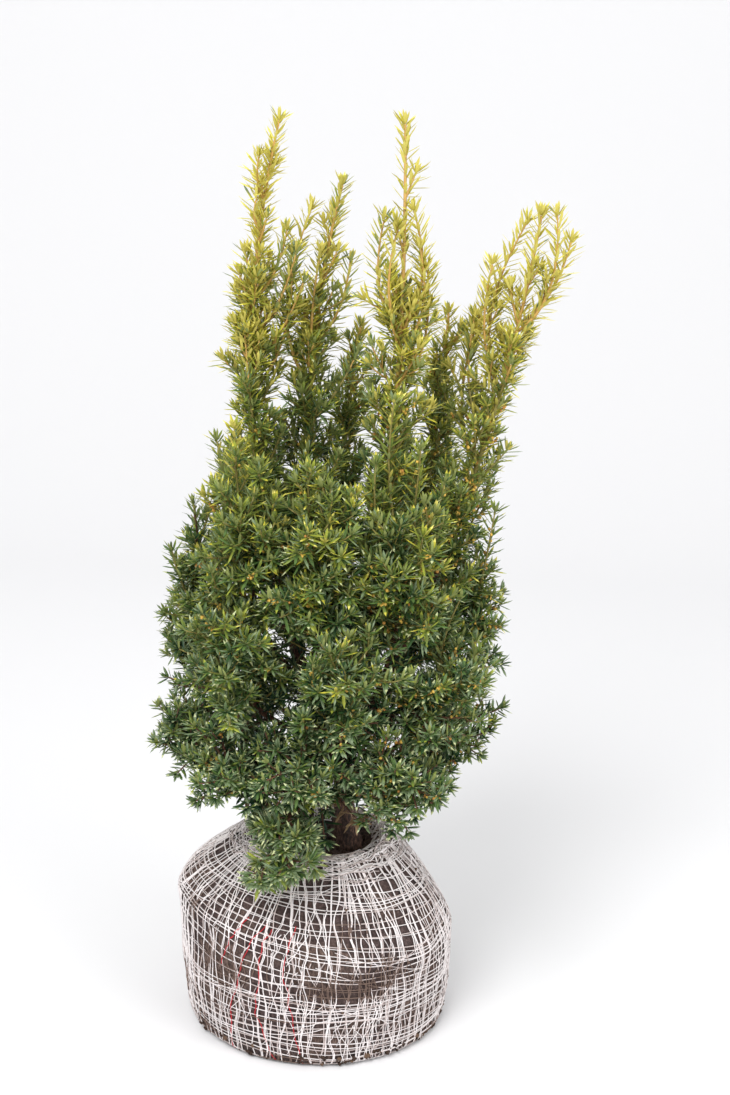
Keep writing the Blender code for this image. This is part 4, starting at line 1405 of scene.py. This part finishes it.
def lay_second_sheet(net):
    """Slanting threads where the net lies double, more of them low down and at the front."""
    dice = net.dice
    for _ in range(SLANTING_THREADS):
        middle = math.radians(dice.uniform(-180.0, 180.0))
        if dice.random() < 0.5:
            middle = math.radians(dice.gauss(-60.0, 38.0))
        start = dice.uniform(0.02, 0.80)
        reach = dice.uniform(0.20, 0.60)
        slant = math.radians(dice.uniform(60.0, 86.0)) * dice.choice((-1, 1))
        if dice.random() < 0.3:
            slant = math.radians(dice.uniform(4.0, 22.0)) * dice.choice((-1, 1))
        count = max(8, round(reach / 0.02))
        way = np.linspace(0.0, reach, count)
        shares = start + way * abs(math.sin(slant)) + wander(dice, count, 0.003, 4)
        angles = middle + way * math.cos(slant) * math.copysign(1.6, slant)
        angles = angles + wander(dice, count, 0.012, 4)
        keep = shares < 1.0
        if keep.sum() < 4:
            continue
        net.add(angles[keep], shares[keep], THREAD_RADIUS * dice.uniform(0.55, 0.85), 0.0010)


def lay_rim(net):
    """The gathered edge of the net, bunched round the mouth."""
    dice = net.dice
    for _ in range(RIM_THREADS):
        begin = dice.uniform(0.0, 2.0 * math.pi)
        sweep = dice.uniform(0.3, 1.3)
        count = max(6, round(sweep / 0.06))
        angles = np.linspace(begin, begin + sweep, count)
        shares = dice.gauss(0.0, 0.045) + wander(dice, count, 0.010, 4)
        lift = dice.uniform(0.0006, 0.0022)
        net.add(angles, shares, THREAD_RADIUS * dice.uniform(0.7, 1.2), lift,
                WHITE if dice.random() < 0.75 else GREYED)


# Red marker threads: angles in degrees at four even steps down, between two shares
RedThread = namedtuple("RedThread", "angles begin end")
RED_THREADS = (
    RedThread((-119.0, -122.0, -125.0, -128.0), 0.30, 0.58),
    RedThread((-110.0, -118.0, -124.0, -126.0), 0.30, 0.99),
    RedThread((-107.0, -111.0, -113.0, -104.0), 0.32, 0.98),
    RedThread((-97.0, -101.0, -97.0, -92.0), 0.28, 0.99),
)


def lay_red_threads(net):
    dice = net.dice
    for thread in RED_THREADS:
        count = 40
        shares = np.linspace(thread.begin, thread.end, count)
        marks = np.linspace(thread.begin, thread.end, len(thread.angles))
        angles = np.radians(np.interp(shares, marks, thread.angles))
        net.add(angles + wander(dice, count, 0.007, 7), shares, THREAD_RADIUS * 1.1, 0.0007, RED)


def build_net():
    net = Net()
    lay_warps(net)
    lay_wefts(net)
    lay_second_sheet(net)
    lay_rim(net)
    lay_red_threads(net)
    materials = plain_materials((
        ("white_cotton", (0.90, 0.845, 0.840), 0.9, 0.2),
        ("greyed_cotton", (0.60, 0.515, 0.495), 0.9, 0.2),
        # Darkest threads: stain, and painted shade below the front shoulder
        ("stained_shaded_cotton", (0.205, 0.142, 0.116), 0.95, 0.2),
        ("red_cotton", (0.50, 0.040, 0.050), 0.85, 0.2),
    ))
    thing = joined_tubes("netting", net.tubes, materials)
    finish_piece(thing, "netted_soil")


# Buds and crumbs of soil

BUD_SEED = 55
BUD_SIZE = 0.00135
CRUMB_SEED = 66
CLINGING_CRUMBS = 170
LOW_CRUMBS = 110
MOUTH_CRUMBS = 90


def round_template(subdivisions):
    """Places and triangles of a small round shape."""
    deselect_all()
    bpy.ops.mesh.primitive_ico_sphere_add(subdivisions=subdivisions, radius=1.0)
    thing = bpy.context.view_layer.objects.active
    places = np.array([vertex.co[:] for vertex in thing.data.vertices])
    faces = np.array([face.vertices[:] for face in thing.data.polygons])
    mesh = thing.data
    bpy.data.objects.remove(thing)
    bpy.data.meshes.remove(mesh)
    return places, faces


def joined_copies(name, shape, faces, copies, materials):
    """One mesh of many copies of a shape. Each copy has a place, a size and a shade."""
    places = [shape * size + np.array(place) for place, size, _ in copies]
    corners = [faces + index * len(shape) for index in range(len(copies))]
    shades = [np.full(len(faces), shade) for _, _, shade in copies]
    return array_object(name, np.concatenate(places), np.concatenate(corners),
                        np.concatenate(shades), materials, True)


def build_buds(shoots):
    """Round male buds in rows under the shoots of the middle and right of the crown."""
    dice = random.Random(BUD_SEED)
    shape, faces = round_template(1)
    copies = []
    for shoot in shoots:
        tip = shoot.places[-1]
        if shoot.kind in ("stem", "bough") or not 0.22 < tip.z < 0.56 or tip.x < -0.10:
            continue
        if dice.random() > (0.42 if tip.x > 0.02 else 0.20):
            continue
        for _ in range(dice.randint(3, 8)):
            spot = shoot.places[dice.randint(2, len(shoot.places) - 2)]
            push = Vector((dice.gauss(0, 1), dice.gauss(0, 1), -0.4)).normalized() * 0.0026
            size = BUD_SIZE * dice.uniform(0.75, 1.2)
            copies.append(((spot + push)[:], size * np.array((1.0, 1.0, 1.15)),
                           dice.choice((0, 0, 1))))
    materials = plain_materials((("yellow_bud", (0.66, 0.42, 0.070), 0.6),
                                 ("amber_bud", (0.46, 0.22, 0.040), 0.6)))
    finish_piece(joined_copies("buds", shape, faces, copies, materials), "golden_needles")


def build_crumbs():
    """Bits of soil that cling to the net and lie close round its foot."""
    dice = random.Random(CRUMB_SEED)
    shape, faces = round_template(2)
    lumpy = shape * (1.0 + 0.22 * np.sin(shape[:, :1] * 7.0 + shape[:, 1:2] * 5.0)
                     + 0.15 * np.sin(shape[:, 2:] * 9.0 + 1.0))
    copies = []
    for index in range(CLINGING_CRUMBS):
        angle = math.radians(dice.gauss(-45.0, 55.0))
        low = index < LOW_CRUMBS
        share = dice.uniform(0.93, 1.0) if low else dice.uniform(0.05, 0.95)
        size = dice.uniform(0.0006, 0.0021 if low else 0.0012)
        place = ball_place(angle, share, 0.0006)
        scale = size * np.array([dice.uniform(0.7, 1.3) for _ in range(3)])
        place = (place[0], place[1], max(place[2], float(scale[2]) * 1.2))
        copies.append((place, scale, dice.choice((0, 0, 1))))
    for _ in range(MOUTH_CRUMBS):
        angle = dice.uniform(0.0, 2.0 * math.pi)
        away = (MOUTH_RADIUS - 0.006) * math.sqrt(dice.random())
        scale = np.array([dice.uniform(0.0008, 0.0028) for _ in range(3)])
        place = (away * math.cos(angle), away * math.sin(angle), SOIL_LEVEL + 0.001)
        copies.append((place, scale, dice.choice((0, 0, 1))))
    materials = plain_materials((("dark_crumb", (0.055, 0.036, 0.028), 1.0, 0.1),
                                 ("brown_crumb", (0.140, 0.090, 0.062), 1.0, 0.1)))
    finish_piece(joined_copies("soil_bits", lumpy, faces, copies, materials), "netted_soil")


# Foliage

FOLIAGE_PIECES = (
    ("left_leader_needles", "golden_needles", ("left_leader", "middle_leader")),
    ("right_leader_needles", "golden_needles", ("tall_leader", "right_leader")),
    ("side_leader_needles", "golden_needles",
     ("small_leader", "back_leader", "left_side_leader")),
    ("upper_crown_needles", "green_needles",
     ("front_crown", "front_left_crown", "front_right_crown", "back_right_crown")),
    ("middle_crown_needles", "green_needles",
     ("mid_front", "mid_front_right", "mid_right", "mid_back_right")),
    ("side_crown_needles", "green_needles",
     ("back_left_crown", "mid_back", "mid_left", "mid_front_left")),
    ("low_front_needles", "dark_needles",
     ("low_front", "low_middle", "low_front_left", "low_left", "low_front_right")),
    ("low_back_needles", "dark_needles",
     ("low_back_left", "low_back", "low_back_right", "low_right")),
)


def needle_materials():
    rows = []
    for tints, roughness, shine in ((UPPER_TINTS, 0.45, 0.22), (UNDER_TINTS, 0.60, 0.15),
                                    (DEAD_TINTS, 0.80, 0.2), (SHEEN_AND_GLINT_TINTS, 0.40, 0.4)):
        rows += [(name, colour, roughness, shine) for name, colour in tints]
    return plain_materials(rows)


def build_foliage(limbs, stems):
    shoots = {mass.name: mass_shoots(mass, limbs, stems) for mass in MASSES}
    materials = needle_materials()
    chance = np.random.default_rng(NEEDLE_SEED)
    dice = random.Random(NEEDLE_SEED)
    for name, slot, masses in FOLIAGE_PIECES:
        parts = [shoot_needles(shoot, chance, dice) for mass in masses for shoot in shoots[mass]]
        thing = needle_object(name, joined_needles(parts), materials)
        finish_piece(thing, slot, *masses)
    everything = [shoot for mass in MASSES for shoot in shoots[mass.name]]
    woods = plain_materials((("orange_twig", (0.540, 0.330, 0.090), 0.6),
                             ("green_twig", (0.250, 0.210, 0.055), 0.6),
                             ("brown_twig", (0.140, 0.062, 0.034), 0.7)))
    twigs = joined_tubes("twigs", twig_tubes(everything), woods)
    finish_piece(twigs, "young_bark")
    build_buds(everything)


# Studio

def build_stage():
    """White floor that turns up into a white wall well behind the plant."""
    deselect_all()
    bpy.ops.mesh.primitive_plane_add(size=1.0, location=(0.0, 0.0, 0.0))
    floor = bpy.context.view_layer.objects.active
    floor.name = "studio_floor"
    bpy.ops.object.mode_set(mode="EDIT")
    bpy.ops.mesh.select_all(action="SELECT")
    bpy.ops.transform.resize(value=(9.0, 5.2, 1.0))
    bpy.ops.mesh.select_mode(type="EDGE")
    bpy.ops.mesh.select_all(action="DESELECT")
    bpy.ops.object.mode_set(mode="OBJECT")
    for edge in floor.data.edges:
        middle = sum(floor.data.vertices[corner].co.y for corner in edge.vertices) / 2.0
        edge.select = middle > 2.5
    bpy.ops.object.mode_set(mode="EDIT")
    bpy.ops.mesh.extrude_edges_move(TRANSFORM_OT_translate={"value": (0.0, 0.0, 4.0)})
    bpy.ops.object.mode_set(mode="OBJECT")
    bend = floor.modifiers.new("sweep", "BEVEL")
    bend.width = 1.2
    bend.segments = 24
    bend.limit_method = "ANGLE"
    apply_all_modifiers(floor)
    bpy.ops.object.shade_smooth()
    floor.data.materials.append(plain_material("studio_white", (0.86, 0.86, 0.87), 0.9, 0.1))


def add_area_light(name, place, aim, size, power):
    light = bpy.data.lights.new(name, "AREA")
    light.shape = "DISK"
    light.size = size
    light.energy = power
    thing = bpy.data.objects.new(name, light)
    bpy.context.scene.collection.objects.link(thing)
    thing.location = place
    direction = Vector(aim) - Vector(place)
    thing.rotation_euler = direction.to_track_quat("-Z", "Y").to_euler()


def build_studio():
    build_stage()
    world = bpy.data.worlds.new("soft_daylight")
    bpy.context.scene.world = world
    world.use_nodes = True
    background = world.node_tree.nodes["Background"]
    background.inputs["Color"].default_value = (1.0, 1.0, 1.0, 1.0)
    background.inputs["Strength"].default_value = 0.78
    add_area_light("key", (-0.8, -1.9, 2.3), (0.0, 0.0, 0.35), 1.5, 58.0)
    add_area_light("fill", (1.7, -1.6, 1.3), (0.0, 0.0, 0.35), 1.6, 22.0)
    bpy.context.scene.view_settings.view_transform = "Standard"


def build_camera():
    data = bpy.data.cameras.new("camera")
    data.sensor_width = SENSOR
    data.lens = PHOTO_FOCAL / PHOTO_HEIGHT * SENSOR
    camera = bpy.data.objects.new("camera", data)
    bpy.context.scene.collection.objects.link(camera)
    camera.location = CAMERA_PLACE
    aim = Vector((0.0, math.cos(CAMERA_PITCH), -math.sin(CAMERA_PITCH)))
    camera.rotation_mode = "QUATERNION"
    camera.rotation_quaternion = aim.to_track_quat("-Z", "Y") @ Quaternion(UP, CAMERA_ROLL)
    bpy.context.scene.camera = camera


def main():
    build_camera()
    build_studio()
    limbs, stems = grown_limbs()
    build_limbs(limbs)
    build_soil()
    build_net()
    build_crumbs()
    build_foliage(limbs, stems)


main()
